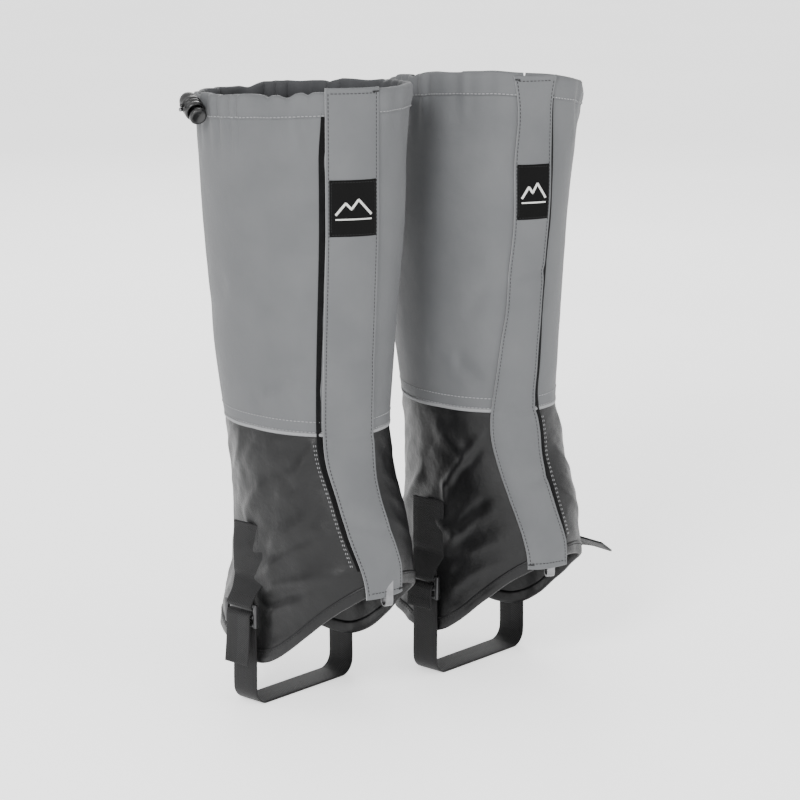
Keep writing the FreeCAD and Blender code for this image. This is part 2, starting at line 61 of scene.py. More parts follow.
MM = 0.001
UP = Vector((0, 0, 1))
SIDES = ("right", "left")
JOINTS = {joint["name"]: joint for joint in frame["joints"]}


# ---------------------------------------------------------------- camera, floor and light

def set_camera():
    azimuth, elevation, distance = math.radians(-48), math.radians(13.3), 2.15
    target = Vector((0.002, 0.0, 0.226))
    back = Vector((math.sin(azimuth) * math.cos(elevation), -math.cos(azimuth) * math.cos(elevation),
                   math.sin(elevation)))
    data = bpy.data.cameras.new("camera")
    data.sensor_width, data.lens = 36, 123.75
    camera = bpy.data.objects.new("camera", data)
    camera.location = target + back * distance
    camera.rotation_euler = back.to_track_quat("Z", "Y").to_euler()
    bpy.context.scene.collection.objects.link(camera)
    bpy.context.scene.camera = camera


def soft_light(name, place, aim, size, power, colour=(1, 1, 1)):
    data = bpy.data.lights.new(name, "AREA")
    data.shape, data.size, data.energy, data.color = "DISK", size, power, colour
    light = bpy.data.objects.new(name, data)
    light.location = place
    light.rotation_euler = (Vector(place) - Vector(aim)).to_track_quat("Z", "Y").to_euler()
    bpy.context.scene.collection.objects.link(light)


def set_studio():
    middle = (0, 0, 0.25)
    soft_light("key_from_left", (-2.3, -0.9, 1.7), middle, 0.9, 80)
    soft_light("fill_from_front", (0.3, -2.6, 0.9), middle, 1.8, 20)
    soft_light("rim_from_behind", (1.5, 1.7, 1.5), middle, 1.2, 20)
    world = bpy.data.worlds.new("pale_room")
    world.use_nodes = True
    world.node_tree.nodes["Background"].inputs["Color"].default_value = (1, 1, 1, 1)
    world.node_tree.nodes["Background"].inputs["Strength"].default_value = 1.3
    bpy.context.scene.world = world


# ---------------------------------------------------------------- materials

def group(name, inputs, outputs):
    """A shader node group with named sockets; returns it with its nodes, links and end nodes."""
    tree = bpy.data.node_groups.new(name, "ShaderNodeTree")
    for socket, kind, value in inputs:
        made = tree.interface.new_socket(socket, in_out="INPUT", socket_type="NodeSocket" + kind)
        if value is not None:
            made.default_value = value
    for socket in outputs:
        tree.interface.new_socket(socket, in_out="OUTPUT", socket_type="NodeSocketFloat")
    start, end = tree.nodes.new("NodeGroupInput"), tree.nodes.new("NodeGroupOutput")
    return tree, start, end


def math_node(tree, operation, first, second=None, third=None, clamp=False):
    node = tree.nodes.new("ShaderNodeMath")
    node.operation, node.use_clamp = operation, clamp
    for socket, value in zip(node.inputs, (first, second, third)):
        if value is None:
            continue
        if isinstance(value, (int, float)):
            socket.default_value = value
        else:
            tree.links.new(value, socket)
    return node.outputs[0]


def threads_group():
    """Plain weave: two sets of rounded threads that pass over and under each other."""
    tree, start, end = group("woven threads", [("Cloth", "Vector", None), ("Pitch", "Float", 0.0007)],
                             ["Height", "Warp"])
    split = tree.nodes.new("ShaderNodeSeparateXYZ")
    tree.links.new(start.outputs["Cloth"], split.inputs[0])
    waves = []
    for axis in (0, 1):
        turns = math_node(tree, "DIVIDE", split.outputs[axis], start.outputs["Pitch"])
        waves.append(math_node(tree, "SINE", math_node(tree, "MULTIPLY", turns, math.pi)))
    over = math_node(tree, "MULTIPLY", waves[0], waves[1])
    rounded = [math_node(tree, "ABSOLUTE", wave) for wave in waves]
    warp = math_node(tree, "GREATER_THAN", over, 0.0)
    height = math_node(tree, "MULTIPLY_ADD", warp,
                       math_node(tree, "SUBTRACT", rounded[0], rounded[1]), rounded[1])
    tree.links.new(height, end.inputs["Height"])
    tree.links.new(warp, end.inputs["Warp"])
    return tree


def ribs_group():
    """Webbing: slanted ribs that turn back at the middle, as a chevron."""
    tree, start, end = group("webbing ribs", [("Cloth", "Vector", None), ("Pitch", "Float", 0.0016)],
                             ["Height"])
    split = tree.nodes.new("ShaderNodeSeparateXYZ")
    tree.links.new(start.outputs["Cloth"], split.inputs[0])
    aside = math_node(tree, "ABSOLUTE", split.outputs[0])
    along = math_node(tree, "MULTIPLY_ADD", aside, 0.7, split.outputs[1])
    turns = math_node(tree, "DIVIDE", along, start.outputs["Pitch"])
    wave = math_node(tree, "SINE", math_node(tree, "MULTIPLY", turns, 2 * math.pi))
    fine = math_node(tree, "SINE", math_node(tree, "DIVIDE", split.outputs[0], 0.00016))
    tree.links.new(math_node(tree, "MULTIPLY_ADD", fine, 0.25, wave), end.inputs["Height"])
    return tree


def patches_group():
    """Soft uneven patches, as wear, dust and handling leave them."""
    tree, start, end = group("uneven patches", [("Place", "Vector", None), ("Scale", "Float", 30.0),
                                                ("Low", "Float", 0.35), ("High", "Float", 0.7)], ["Mask"])
    cloud = tree.nodes.new("ShaderNodeTexNoise")
    cloud.inputs["Detail"].default_value = 5
    tree.links.new(start.outputs["Place"], cloud.inputs["Vector"])
    tree.links.new(start.outputs["Scale"], cloud.inputs["Scale"])
    spread = tree.nodes.new("ShaderNodeMapRange")
    tree.links.new(cloud.outputs["Fac"], spread.inputs["Value"])
    tree.links.new(start.outputs["Low"], spread.inputs["From Min"])
    tree.links.new(start.outputs["High"], spread.inputs["From Max"])
    tree.links.new(spread.outputs["Result"], end.inputs["Mask"])
    return tree


def pile_group():
    """The fuzz of touch tape: small loops or hooks set close together."""
    tree, start, end = group("tape pile", [("Place", "Vector", None), ("Scale", "Float", 1400.0)], ["Height"])
    cells = tree.nodes.new("ShaderNodeTexVoronoi")
    tree.links.new(start.outputs["Place"], cells.inputs["Vector"])
    tree.links.new(start.outputs["Scale"], cells.inputs["Scale"])
    tree.links.new(math_node(tree, "SUBTRACT", 1.0, cells.outputs["Distance"]), end.inputs["Height"])
    return tree


GROUPS = {"threads": threads_group(), "ribs": ribs_group(), "patches": patches_group(), "pile": pile_group()}


class Finish:
    """One material: a Principled shader with helpers for its groups, colours and bump."""

    def __init__(self, name, roughness, **constants):
        self.material = bpy.data.materials.new(name)
        self.material.use_nodes = True
        self.tree = self.material.node_tree
        self.shader = self.tree.nodes["Principled BSDF"]
        self.shader.inputs["Roughness"].default_value = roughness
        for socket, value in constants.items():
            self.shader.inputs[socket.replace("_", " ")].default_value = value
        self.where = self.tree.nodes.new("ShaderNodeTexCoord")
        self.bump_out = None

    def effect(self, name, place, **values):
        """Places a shared group, fed by the cloth's own UV or by the place in space."""
        node = self.tree.nodes.new("ShaderNodeGroup")
        node.node_tree = GROUPS[name]
        source = self.where.outputs["UV" if place == "Cloth" else "Object"]
        self.tree.links.new(source, node.inputs[place])
        for socket, value in values.items():
            node.inputs[socket].default_value = value
        return node

    def colours(self, mask, dark, light):
        mix = self.tree.nodes.new("ShaderNodeMix")
        mix.data_type = "RGBA"
        self.tree.links.new(mask, mix.inputs["Factor"])
        mix.inputs["A"].default_value, mix.inputs["B"].default_value = (*dark, 1), (*light, 1)
        self.tree.links.new(mix.outputs["Result"], self.shader.inputs["Base Color"])

    def rough(self, mask, low, high):
        spread = self.tree.nodes.new("ShaderNodeMapRange")
        self.tree.links.new(mask, spread.inputs["Value"])
        spread.inputs["To Min"].default_value, spread.inputs["To Max"].default_value = low, high
        self.tree.links.new(spread.outputs["Result"], self.shader.inputs["Roughness"])

    def bump(self, height, strength, distance):
        node = self.tree.nodes.new("ShaderNodeBump")
        node.inputs["Strength"].default_value = strength
        node.inputs["Distance"].default_value = distance
        self.tree.links.new(height, node.inputs["Height"])
        if self.bump_out is not None:
            self.tree.links.new(self.bump_out, node.inputs["Normal"])
        self.bump_out = node.outputs["Normal"]
        self.tree.links.new(self.bump_out, self.shader.inputs["Normal"])


def cloth_finish(name, dark, light, roughness, pitch, sheen, crumple=0.35, coat=0.0, gloss=0.22):
    """Woven cloth: threads in the bump, patches in the colour and roughness, and a soft sheen."""
    finish = Finish(name, roughness, Sheen_Weight=sheen, Sheen_Roughness=0.45, Coat_Weight=coat,
                    Coat_Roughness=0.35, Specular_IOR_Level=gloss)
    threads = finish.effect("threads", "Cloth", Pitch=pitch)
    tone = finish.effect("patches", "Place", Scale=24.0)
    small = finish.effect("patches", "Place", Scale=140.0, Low=0.2, High=0.85)
    finish.colours(tone.outputs["Mask"], dark, light)
    finish.rough(tone.outputs["Mask"], roughness - 0.06, roughness + 0.06)
    finish.bump(small.outputs["Mask"], crumple, 0.0006)
    finish.bump(threads.outputs["Height"], 0.35, 0.00009)
    return finish.material


def tape_finish():
    finish = Finish("touch_tape_pile", 0.95, Sheen_Weight=0.03, Sheen_Roughness=0.6,
                    Specular_IOR_Level=0.1)
    tone = finish.effect("patches", "Place", Scale=90.0)
    finish.colours(tone.outputs["Mask"], (0.0012, 0.0012, 0.0014), (0.003, 0.003, 0.0033))
    finish.bump(finish.effect("pile", "Place").outputs["Height"], 0.8, 0.0004)
    return finish.material


def webbing_finish():
    finish = Finish("black_webbing_weave", 0.58, Sheen_Weight=0.04, Sheen_Roughness=0.5,
                    Specular_IOR_Level=0.25)
    tone = finish.effect("patches", "Place", Scale=60.0)
    finish.colours(tone.outputs["Mask"], (0.002, 0.002, 0.0022), (0.0045, 0.0045, 0.005))
    finish.bump(finish.effect("ribs", "Cloth").outputs["Height"], 0.6, 0.0002)
    return finish.material


def hard_finish(name, dark, light, roughness, metallic=0.0, coat=0.0, scale=70.0):
    """Moulded plastic, lacquer or plating: fine grain, with wear in tone and gloss."""
    finish = Finish(name, roughness, Metallic=metallic, Coat_Weight=coat, Coat_Roughness=0.2)
    tone = finish.effect("patches", "Place", Scale=scale)
    grain = finish.effect("patches", "Place", Scale=2600.0, Low=0.2, High=0.8)
    finish.colours(tone.outputs["Mask"], dark, light)
    finish.rough(tone.outputs["Mask"], roughness - 0.07, roughness + 0.1)
    finish.bump(grain.outputs["Mask"], 0.15, 0.00008)
    return finish.material


# cloths: name, darkest and lightest tone, roughness, thread pitch and sheen
FINISHES = {
    "grey": cloth_finish("grey_coated_cloth", (0.082, 0.0845, 0.088), (0.097, 0.0995, 0.103), 0.62, 0.0006,
                         0.05),
    "black": cloth_finish("black_lower_cloth", (0.0016, 0.0016, 0.0018), (0.003, 0.003, 0.0034), 0.42, 0.0007,
                          0.0, crumple=0.5, gloss=0.3),
    "lining": cloth_finish("dark_grey_lining", (0.03, 0.031, 0.033), (0.042, 0.043, 0.046), 0.7, 0.0006,
                           0.03),
    "patch": cloth_finish("black_woven_patch", (0.001, 0.001, 0.001), (0.002, 0.002, 0.002), 0.75, 0.0005,
                          0.0, gloss=0.1),
    "grey_thread": cloth_finish("grey_thread", (0.19, 0.192, 0.196), (0.26, 0.263, 0.268), 0.6, 0.0003, 0.1),
    # painted highlight: this pale tone stands in for the light that folded edges catch
    "edge": cloth_finish("folded_edge_painted_highlight", (0.17, 0.173, 0.177), (0.21, 0.213, 0.218), 0.6, 0.0005, 0.1),
    "black_thread": cloth_finish("charcoal_thread", (0.006, 0.006, 0.0065), (0.012, 0.012, 0.013), 0.6,
                                 0.0003, 0.03),
    "mark": cloth_finish("off_white_embroidery", (0.5, 0.5, 0.48), (0.62, 0.62, 0.6), 0.6, 0.0003, 0.1),
    "cord": cloth_finish("braided_elastic", (0.003, 0.003, 0.0033), (0.007, 0.007, 0.0075), 0.6, 0.0005,
                         0.05),
    "tape": tape_finish(),
    "webbing": webbing_finish(),
    "plastic": hard_finish("moulded_black_plastic", (0.002, 0.002, 0.0022), (0.005, 0.005, 0.0055), 0.36,
                           coat=0.1),
    "lacquer": hard_finish("dark_lacquered_buckle", (0.02, 0.02, 0.021), (0.05, 0.05, 0.052), 0.3, 0.6, 0.3),
    "steel": hard_finish("plated_steel", (0.16, 0.16, 0.165), (0.24, 0.24, 0.245), 0.34, 1.0),
    "floor": hard_finish("pale_floor", (0.88, 0.88, 0.88), (0.92, 0.92, 0.92), 0.8, scale=2.0),
}
FLOOR_SHADER = FINISHES["floor"].node_tree.nodes["Principled BSDF"].inputs
FLOOR_SHADER["Emission Color"].default_value = (1, 1, 1, 1)
FLOOR_SHADER["Emission Strength"].default_value = 0.9


# ---------------------------------------------------------------- the leg, measured on the frame

ANGLES = np.radians(np.arange(-180, 180, 1.0))
HEIGHTS = np.arange(0.016, 0.506, 0.002)
CLOTH_NODES = ("upper_outer_panel", "upper_inner_panel", "lower_outer_panel", "lower_inner_panel",
               "top_casing")


def tree_of(names):
    """A search tree over the faces of some CAD nodes."""
    points, faces = [], []
    for name in names:
        mesh = frame["nodes"][name].data
        first = len(points)
        points += [vertex.co.copy() for vertex in mesh.vertices]
        faces += [[first + i for i in polygon.vertices] for polygon in mesh.polygons]
    return BVHTree.FromPolygons(points, faces)


def soften(values, sigma, axis, wrap=False):
    """A Gaussian blur along one axis, in grid steps."""
    reach = int(3 * sigma) + 1
    weights = np.exp(-0.5 * (np.arange(-reach, reach + 1) / sigma) ** 2)
    weights /= weights.sum()
    pad = [(0, 0)] * values.ndim
    pad[axis] = (reach, reach)
    wide = np.pad(values, pad, mode="wrap" if wrap else "edge")
    return np.apply_along_axis(lambda line: np.convolve(line, weights, "valid"), axis, wide)


def fill_gaps(line, wrap):
    """Replaces missing values along a line by what lies beside them."""
    good = np.isfinite(line)
    if not good.any() or good.all():
        return line
    where, n = np.arange(len(line)), len(line)
    if wrap:
        known = np.concatenate([where[good] - n, where[good], where[good] + n])
        return np.interp(where, known, np.tile(line[good], 3))
    return np.interp(where, where[good], line[good])


def lumps(x, y, z, seed):
    """Smooth value noise between -1 and 1, the same on every run."""
    def corner(i, j, k):
        mixed = (i * 374761393 + j * 668265263 + k * 2147483647 + seed * 1274126177) & 0xFFFFFFFF
        mixed = ((mixed ^ (mixed >> 13)) * 1103515245) & 0xFFFFFFFF
        return ((mixed ^ (mixed >> 16)) & 0xFFFF) / 32767.5 - 1

    cells = [np.floor(value).astype(np.int64) for value in (x, y, z)]
    parts = [value - cell for value, cell in zip((x, y, z), cells)]
    u, v, w = [part ** 3 * (part * (part * 6 - 15) + 10) for part in parts]
    total = 0
    for i, j, k in np.ndindex(2, 2, 2):
        share = np.where(i, u, 1 - u) * np.where(j, v, 1 - v) * np.where(k, w, 1 - w)
        total = total + share * corner(cells[0] + i, cells[1] + j, cells[2] + k)
    return total


def smooth_step(value, low, high):
    t = np.clip((value - low) / (high - low), 0, 1)
    return t * t * (3 - 2 * t)


# each fold: angle from the toes in degrees (+ towards the wearer's left) and height in mm at its two ends,
# half width in mm, and how far it stands out in mm (- sinks in)
FOLDS = {
    "right": [
        (-97, 241, -84, 258, 7, -1.8), (-84, 258, -62, 265, 7, -2.0), (-62, 265, -44, 256, 7, -1.6),
        (-90, 249, -60, 256, 9, 1.6), (-52, 466, -46, 441, 5, -1.8), (-46, 441, -38, 418, 5, -1.2),
        (-60, 462, -55, 430, 7, 1.2), (-43, 215, -60, 186, 5, 2.6), (-48, 205, -64, 178, 5, -2.0),
        (-84, 131, -52, 157, 5, 2.8), (-80, 124, -46, 146, 5, -2.4), (-97, 100, -66, 136, 6, 2.6),
        (-66, 136, -40, 152, 5, 2.0), (-98, 93, -52, 110, 4, 2.2), (-52, 110, -27, 119, 4, 1.8),
        (-92, 84, -54, 100, 4, -2.0), (-95, 74, -60, 91, 4, 2.0), (-120, 150, -92, 178, 8, 2.0),
        (-135, 120, -105, 150, 8, -2.0), (-110, 190, -80, 205, 9, 1.4), (-75, 172, -52, 200, 6, 1.6),
        (40, 180, 70, 205, 7, 2.2), (45, 120, 80, 150, 7, 2.4), (60, 95, 100, 128, 6, -2.2),
        (120, 130, 150, 170, 8, 2.0), (150, 190, 185, 212, 8, 1.6), (155, 100, 200, 130, 8, -2.0),
        (-150, 300, -120, 330, 12, -1.4), (60, 300, 95, 335, 12, 1.5), (110, 400, 140, 370, 12, -1.4),
    ],
    "left": [
        (-46, 206, -66, 182, 5, 2.6), (-66, 182, -86, 156, 5, 2.4), (-86, 160, -87, 146, 4, 1.8),
        (-52, 190, -74, 165, 5, -2.2), (-95, 205, -70, 190, 7, 1.6), (-60, 130, -90, 105, 5, 2.2),
        (-48, 150, -70, 128, 5, -1.8), (-100, 130, -75, 118, 6, 1.6), (-96, 90, -66, 104, 4, -1.8),
        (-70, 262, -50, 246, 8, -1.5), (-95, 270, -72, 262, 9, 1.2), (-45, 330, -60, 300, 8, -1.2),
        (20, 205, 50, 180, 7, 2.2), (30, 150, 62, 118, 7, 2.4), (60, 170, 95, 196, 7, -2.2),
        (85, 100, 130, 140, 8, 2.2), (120, 180, 160, 205, 8, 1.8), (-160, 120, -120, 160, 8, 2.0),
        (-140, 190, -105, 212, 8, -1.6), (60, 320, 95, 290, 12, 1.4), (130, 380, 165, 350, 12, -1.4),
        (10, 470, 16, 440, 6, -1.6), (4, 466, 12, 430, 6, 1.4), (24, 468, 28, 445, 5, 1.4),
    ],
}


class Gaiter:
    """One gaiter: its cloth surface in polar form about an upright line, measured on the CAD nodes."""

    def __init__(self, side):
        self.side = side
        self.outward = -1 if side == "right" else 1
        low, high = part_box(side + "_instep_strap")
        bottom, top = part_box(side + "_lower_outer_panel"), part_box(side + "_upper_inner_panel")
        self.centre = np.array([(low.x + high.x) / 2, (bottom[0].y + top[1].y) / 2 - 0.002, 0])
        self.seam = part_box(side + "_upper_outer_panel")[0].z
        self.radius = self.measure(tree_of([side + "_" + name for name in CLOTH_NODES]))
        self.low = self.border(tree_of([side + "_bottom_hem"]), 0.02, 0.13, lowest=True)
        casing = tree_of([side + "_top_casing"])
        self.rim = self.border(casing, 0.43, 0.5, lowest=False)
        self.casing_foot = self.border(casing, 0.42, 0.49, lowest=True)
        self.flap_edges = self.measure_flap()
        self.relief = self.shape_folds()

    def cast(self, tree, angle, height):
        way = Vector((math.sin(angle), -math.cos(angle), 0))
        start = Vector(self.centre) + way * 0.25 + UP * height
        distance = tree.ray_cast(start, -way, 0.225)[3]
        return float("nan") if distance is None else 0.25 - distance

    def measure(self, tree):
        grid = np.array([[self.cast(tree, a, z) for a in ANGLES[::2]] for z in HEIGHTS])
        whole = np.isfinite(grid).mean(axis=1) > 0.9
        grid[whole] = [fill_gaps(row, wrap=True) for row in grid[whole]]
        grid = np.apply_along_axis(fill_gaps, 0, grid, False)
        grid = soften(soften(grid, 5, 0), 1.2, 1, wrap=True)
        wide = np.concatenate([grid, grid[:, :1]], axis=1)
        steps = np.arange(len(ANGLES)) / 2
        return np.array([np.interp(steps, np.arange(wide.shape[1]), row) for row in wide])

    def border(self, tree, bottom, top, lowest):
        """The lowest or highest point of a band, all the way round."""
        heights = np.arange(bottom, top, 0.001)
        found = []
        for angle in ANGLES[::3]:
            hits = [z for z in heights if math.isfinite(self.cast(tree, angle, z))]
            found.append((min(hits) if lowest else max(hits)) if hits else float("nan"))
        found = soften(fill_gaps(np.array(found), wrap=True), 1.5, 0, wrap=True)
        return np.interp(np.arange(len(ANGLES)) / 3, np.arange(len(found) + 1), np.append(found, found[0]))

    def measure_flap(self):
        """The flap's sewn and free edges as angles by height."""
        levels = {}
        for name in ("_front_flap", "_front_flap_foot"):
            for vertex in frame["nodes"][self.side + name].data.vertices:
                x, y = vertex.co.x - self.centre[0], vertex.co.y - self.centre[1]
                levels.setdefault(round(vertex.co.z, 3), []).append(math.atan2(x, -y))
        rows = sorted((z, min(angles), max(angles)) for z, angles in levels.items()
                      if max(angles) - min(angles) > 0.25)
        table = np.array(rows)
        self.flap_low, self.flap_top = table[0, 0], table[-1, 0]
        edges = [soften(np.interp(HEIGHTS, table[:, 0], table[:, column]), 7, 0) for column in (1, 2)]
        return {"free": edges[0], "sewn": edges[1]} if self.side == "right" else \
            {"sewn": edges[0], "free": edges[1]}

    def at(self, grid, angle, height):
        """Reads a grid over angle and height smoothly between its points."""
        column = (np.asarray(angle, float) - ANGLES[0]) / (ANGLES[1] - ANGLES[0]) % len(ANGLES)
        row = np.clip((np.asarray(height, float) - HEIGHTS[0]) / 0.002, 0, len(HEIGHTS) - 1.001)
        i, j = np.floor(row).astype(int), np.floor(column).astype(int)
        u, v = row - i, column - j
        after = (j + 1) % len(ANGLES)
        j = j % len(ANGLES)
        return ((1 - u) * ((1 - v) * grid[i, j] + v * grid[i, after])
                + u * ((1 - v) * grid[i + 1, j] + v * grid[i + 1, after]))

    def along(self, line, angle):
        """Reads a line round the leg at an angle."""
        steps = (np.asarray(angle, float) - ANGLES[0]) / (ANGLES[1] - ANGLES[0])
        return np.interp(steps % len(ANGLES), np.arange(len(ANGLES) + 1), np.append(line, line[0]))

    def flap_angle(self, height, across):
        """The angle of a line along the flap: across is 0 at its sewn edge and 1 at its free edge."""
        sewn, free = [np.interp(height, HEIGHTS, self.flap_edges[name]) for name in ("sewn", "free")]
        return sewn + (free - sewn) * across

    def shape_folds(self):
        """How far the cloth stands out from the plain form, in metres, at each angle and height."""
        angle, height = np.meshgrid(ANGLES, HEIGHTS)
        x, y = self.radius * np.sin(angle), -self.radius * np.cos(angle)
        seed = 3 if self.side == "right" else 11
        lower = 1 - smooth_step(height, self.seam - 0.012, self.seam + 0.01)
        broad = 1.5 * lumps(x / 0.07, y / 0.07, height / 0.11, seed) \
            + 0.5 * lumps(x / 0.03, y / 0.03, height / 0.055, seed + 1)
        lean = height + 0.7 * (x + y)
        crease = 1 - np.abs(lumps(x / 0.05, y / 0.05, lean / 0.022, seed + 2)) * 2
        crease = crease + 0.5 * lumps(x / 0.016, y / 0.016, lean / 0.011, seed + 3)
        rumple = 1.15 * crease + 0.25 * lumps(x / 0.008, y / 0.008, height / 0.007, seed + 4)
        upper_rumple = 0.16 * lumps(x / 0.014, y / 0.014, height / 0.012, seed + 5)
        relief = broad + lower * rumple + (1 - lower) * upper_rumple
        for first, z_first, last, z_last, width, proud in FOLDS[self.side]:
            relief = relief + proud * self.ridge(angle, height, first, z_first, last, z_last, width)
        relief = relief + self.gathers(angle, height, seed)
        beside = np.abs(angle - self.flap_angle(height, 0.5)) * self.radius
        calm = 0.25 + 0.75 * smooth_step(beside, 0.018, 0.034)
        # the cloth lies back under the buckles and straps, so that they can turn
        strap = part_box(self.side + "_instep_strap")
        aside = np.abs(y + self.centre[1] - (strap[0].y + strap[1].y) / 2)
        under = (1 - smooth_step(aside, 0.017, 0.03)) * (1 - smooth_step(height, 0.09, 0.125))
        relief = relief * (1 - under) + np.minimum(relief * 0.3, 0) * under - 0.5 * under
        # the panels' seam draws the cloth in a little
        seam = -0.7 * np.exp(-((height - self.seam) / 0.003) ** 2)
        return soften((relief * calm + seam) * MM, 0.8, 0)

    def ridge(self, angle, height, first, z_first, last, z_last, width):
        """A soft ridge along a straight run on the cloth, faded at its ends."""
        around = (angle - math.radians(first) + math.pi) % (2 * math.pi) - math.pi
        run = np.array([math.radians(last - first) * 0.075, (z_last - z_first) * MM])
        along = (around * 0.075 * run[0] + (height - z_first * MM) * run[1]) / (run @ run)
        aside = np.abs(around * 0.075 * run[1] - (height - z_first * MM) * run[0]) / np.linalg.norm(run)
        ends = smooth_step(along, -0.25, 0.15) * (1 - smooth_step(along, 0.85, 1.25))
        return np.exp(-(aside / (width * MM)) ** 2) * ends

    def gathers(self, angle, height, seed):
        """Pleats where the elastic draws in the rim; they fade out down the leg."""
        below = self.along(self.rim, angle) - height
        fade = 1 - smooth_step(below, 0.006, 0.055)
        drift = 0.35 * lumps(np.cos(angle) * 3, np.sin(angle) * 3, np.zeros_like(angle), seed + 6)
        wave = np.sin((angle + drift) * 22) + 0.6 * np.sin((angle - drift) * 13 + 1)
        back = 0.35 + 0.65 * smooth_step(-np.cos(angle), -0.3, 0.5)
        return 1.6 * wave * fade * back

    def skin(self, angle, height, offset=0.0, follow=1.0):
        """Points on the cloth, an offset out of it; follow scales the folds."""
        angle, height = np.broadcast_arrays(np.asarray(angle, float), np.asarray(height, float))

        def place(a, z):
            reach = self.at(self.radius, a, z) + follow * self.at(self.relief, a, z)
            return np.stack([self.centre[0] + reach * np.sin(a), self.centre[1] - reach * np.cos(a), z], -1)

        across = place(angle + 0.02, height) - place(angle - 0.02, height)
        rise = place(angle, height + 0.002) - place(angle, height - 0.002)
        normal = np.cross(across, rise)
        normal /= np.linalg.norm(normal, axis=-1, keepdims=True)
        return place(angle, height) + normal * np.asarray(offset, float)[..., None], normal


# ---------------------------------------------------------------- mesh helpers

def make_mesh(name, points, faces, finishes, uv=None, smooth=True):
    mesh = bpy.data.meshes.new(name)
    mesh.from_pydata([tuple(p) for p in points], [], faces)
    if uv is not None:
        layer = mesh.uv_layers.new(name="UVMap")
        for loop in mesh.loops:
            layer.data[loop.index].uv = uv[loop.vertex_index]
    for finish in finishes:
        mesh.materials.append(FINISHES[finish])
    mesh.update()
    for polygon in mesh.polygons:
        polygon.use_smooth = smooth
    obj = bpy.data.objects.new(name, mesh)
    bpy.context.scene.collection.objects.link(obj)
    return obj


def grid_faces(rows, columns, closed=False):
    faces = []
    for i in range(rows - 1):
        for j in range(columns if closed else columns - 1):
            k = (j + 1) % columns
            faces.append((i * columns + j, i * columns + k, (i + 1) * columns + k, (i + 1) * columns + j))
    return faces


def cloth_grid(name, points, finishes, thickness):
    """A sheet of cloth with thickness: points is rows x columns, outer face outwards."""
    rows, columns = points.shape[:2]
    steps = np.linalg.norm(np.diff(points[rows // 2], axis=0), axis=1)
    u = np.concatenate([[0], np.cumsum(steps)])
    rise = np.linalg.norm(np.diff(points[:, columns // 2], axis=0), axis=1)
    v = np.concatenate([[0], np.cumsum(rise)])
    uv = [(u[j], v[i]) for i in range(rows) for j in range(columns)]
    obj = make_mesh(name, points.reshape(-1, 3), grid_faces(rows, columns), finishes, uv)
    solid = obj.modifiers.new("thickness", "SOLIDIFY")
    solid.thickness, solid.offset = thickness, -1
    if len(finishes) > 1:
        solid.material_offset = 1
    apply_modifiers(obj)
    return obj


def apply_modifiers(obj):
    bpy.context.view_layer.update()
    done = bpy.data.meshes.new_from_object(obj.evaluated_get(bpy.context.evaluated_depsgraph_get()))
    obj.modifiers.clear()
    obj.data = done


def swept(name, rings, finishes, closed_run=False):
    """A tube or bar through rings of points, with flat ends unless it runs back into itself."""
    rings = np.asarray(rings)
    rows, columns = rings.shape[:2]
    faces = grid_faces(rows, columns, closed=True)
    if closed_run:
        faces += [((rows - 1) * columns + j, (rows - 1) * columns + (j + 1) % columns, (j + 1) % columns, j)
                  for j in range(columns)]
    else:
        faces += [tuple(range(columns))[::-1], tuple((rows - 1) * columns + j for j in range(columns))]
    along = np.concatenate([[0], np.cumsum(np.linalg.norm(np.diff(rings.mean(axis=1), axis=0), axis=1))])
    width = np.linalg.norm(np.diff(rings[0], axis=0, append=rings[0][:1]), axis=1)
    around = np.concatenate([[0], np.cumsum(width)[:-1]])
    half = around[len(around) // 2] / 2
    uv = [(around[j] - half, along[i]) for i in range(rows) for j in range(columns)]
    return make_mesh(name, rings.reshape(-1, 3), faces, finishes, uv)


def ring_round(centre, first, second, radius, count=16):
    turns = np.linspace(0, 2 * math.pi, count, endpoint=False)
    return np.array([centre + radius * (math.cos(t) * first + math.sin(t) * second) for t in turns])


def cross_frames(path):
    """Unit vectors along a path and two across it, turning as little as they can."""
    path = np.asarray(path, float)
    along = np.gradient(path, axis=0)
    along /= np.linalg.norm(along, axis=1, keepdims=True)
    first = np.cross(along[0], [0.31, 0.2, 0.93])
    first /= np.linalg.norm(first)
    frames = []
    for way in along:
        first = first - way * (first @ way)
        first /= np.linalg.norm(first)
        frames.append((way, first.copy(), np.cross(way, first)))
    return frames


def round_cord(name, path, radius, finish, count=14):
    rings = [ring_round(p, a, b, radius, count) for p, (_, a, b) in zip(np.asarray(path), cross_frames(path))]
    return swept(name, rings, [finish])


def band_rings(middles, across, faces, width, thickness):
    """Rings of webbing's flat section with rounded edges, along a run of middles."""
    half, edge = width / 2, thickness / 2
    outline = [(-half + edge * (1 - math.cos(t)), edge * math.sin(t)) for t in np.linspace(0, math.pi / 2, 4)]
    flat = [(x, edge) for x in np.linspace(-half * 0.6, half * 0.6, 4)]
    top = outline + flat + [(-x, y) for x, y in outline[::-1]]
    section = top + [(x, -y) for x, y in top[::-1][1:-1]]
    return [[m + a * x + f * y for x, y in section] for m, a, f in zip(middles, across, faces)]


def lathe(name, origin, axis, profile, finishes, count=40):
    """A turned piece: profile is (distance along the axis, radius) pairs; ends on the axis close it."""
    axis = np.array(Vector(axis).normalized())
    first = np.cross(axis, [0, 0, 1.0] if abs(axis[2]) < 0.9 else [1.0, 0, 0])
    first /= np.linalg.norm(first)
    second = np.cross(axis, first)
    rings = [ring_round(np.array(origin) + axis * along, first, second, max(radius, 1e-5), count)
             for along, radius in profile]
    return swept(name, rings, finishes)


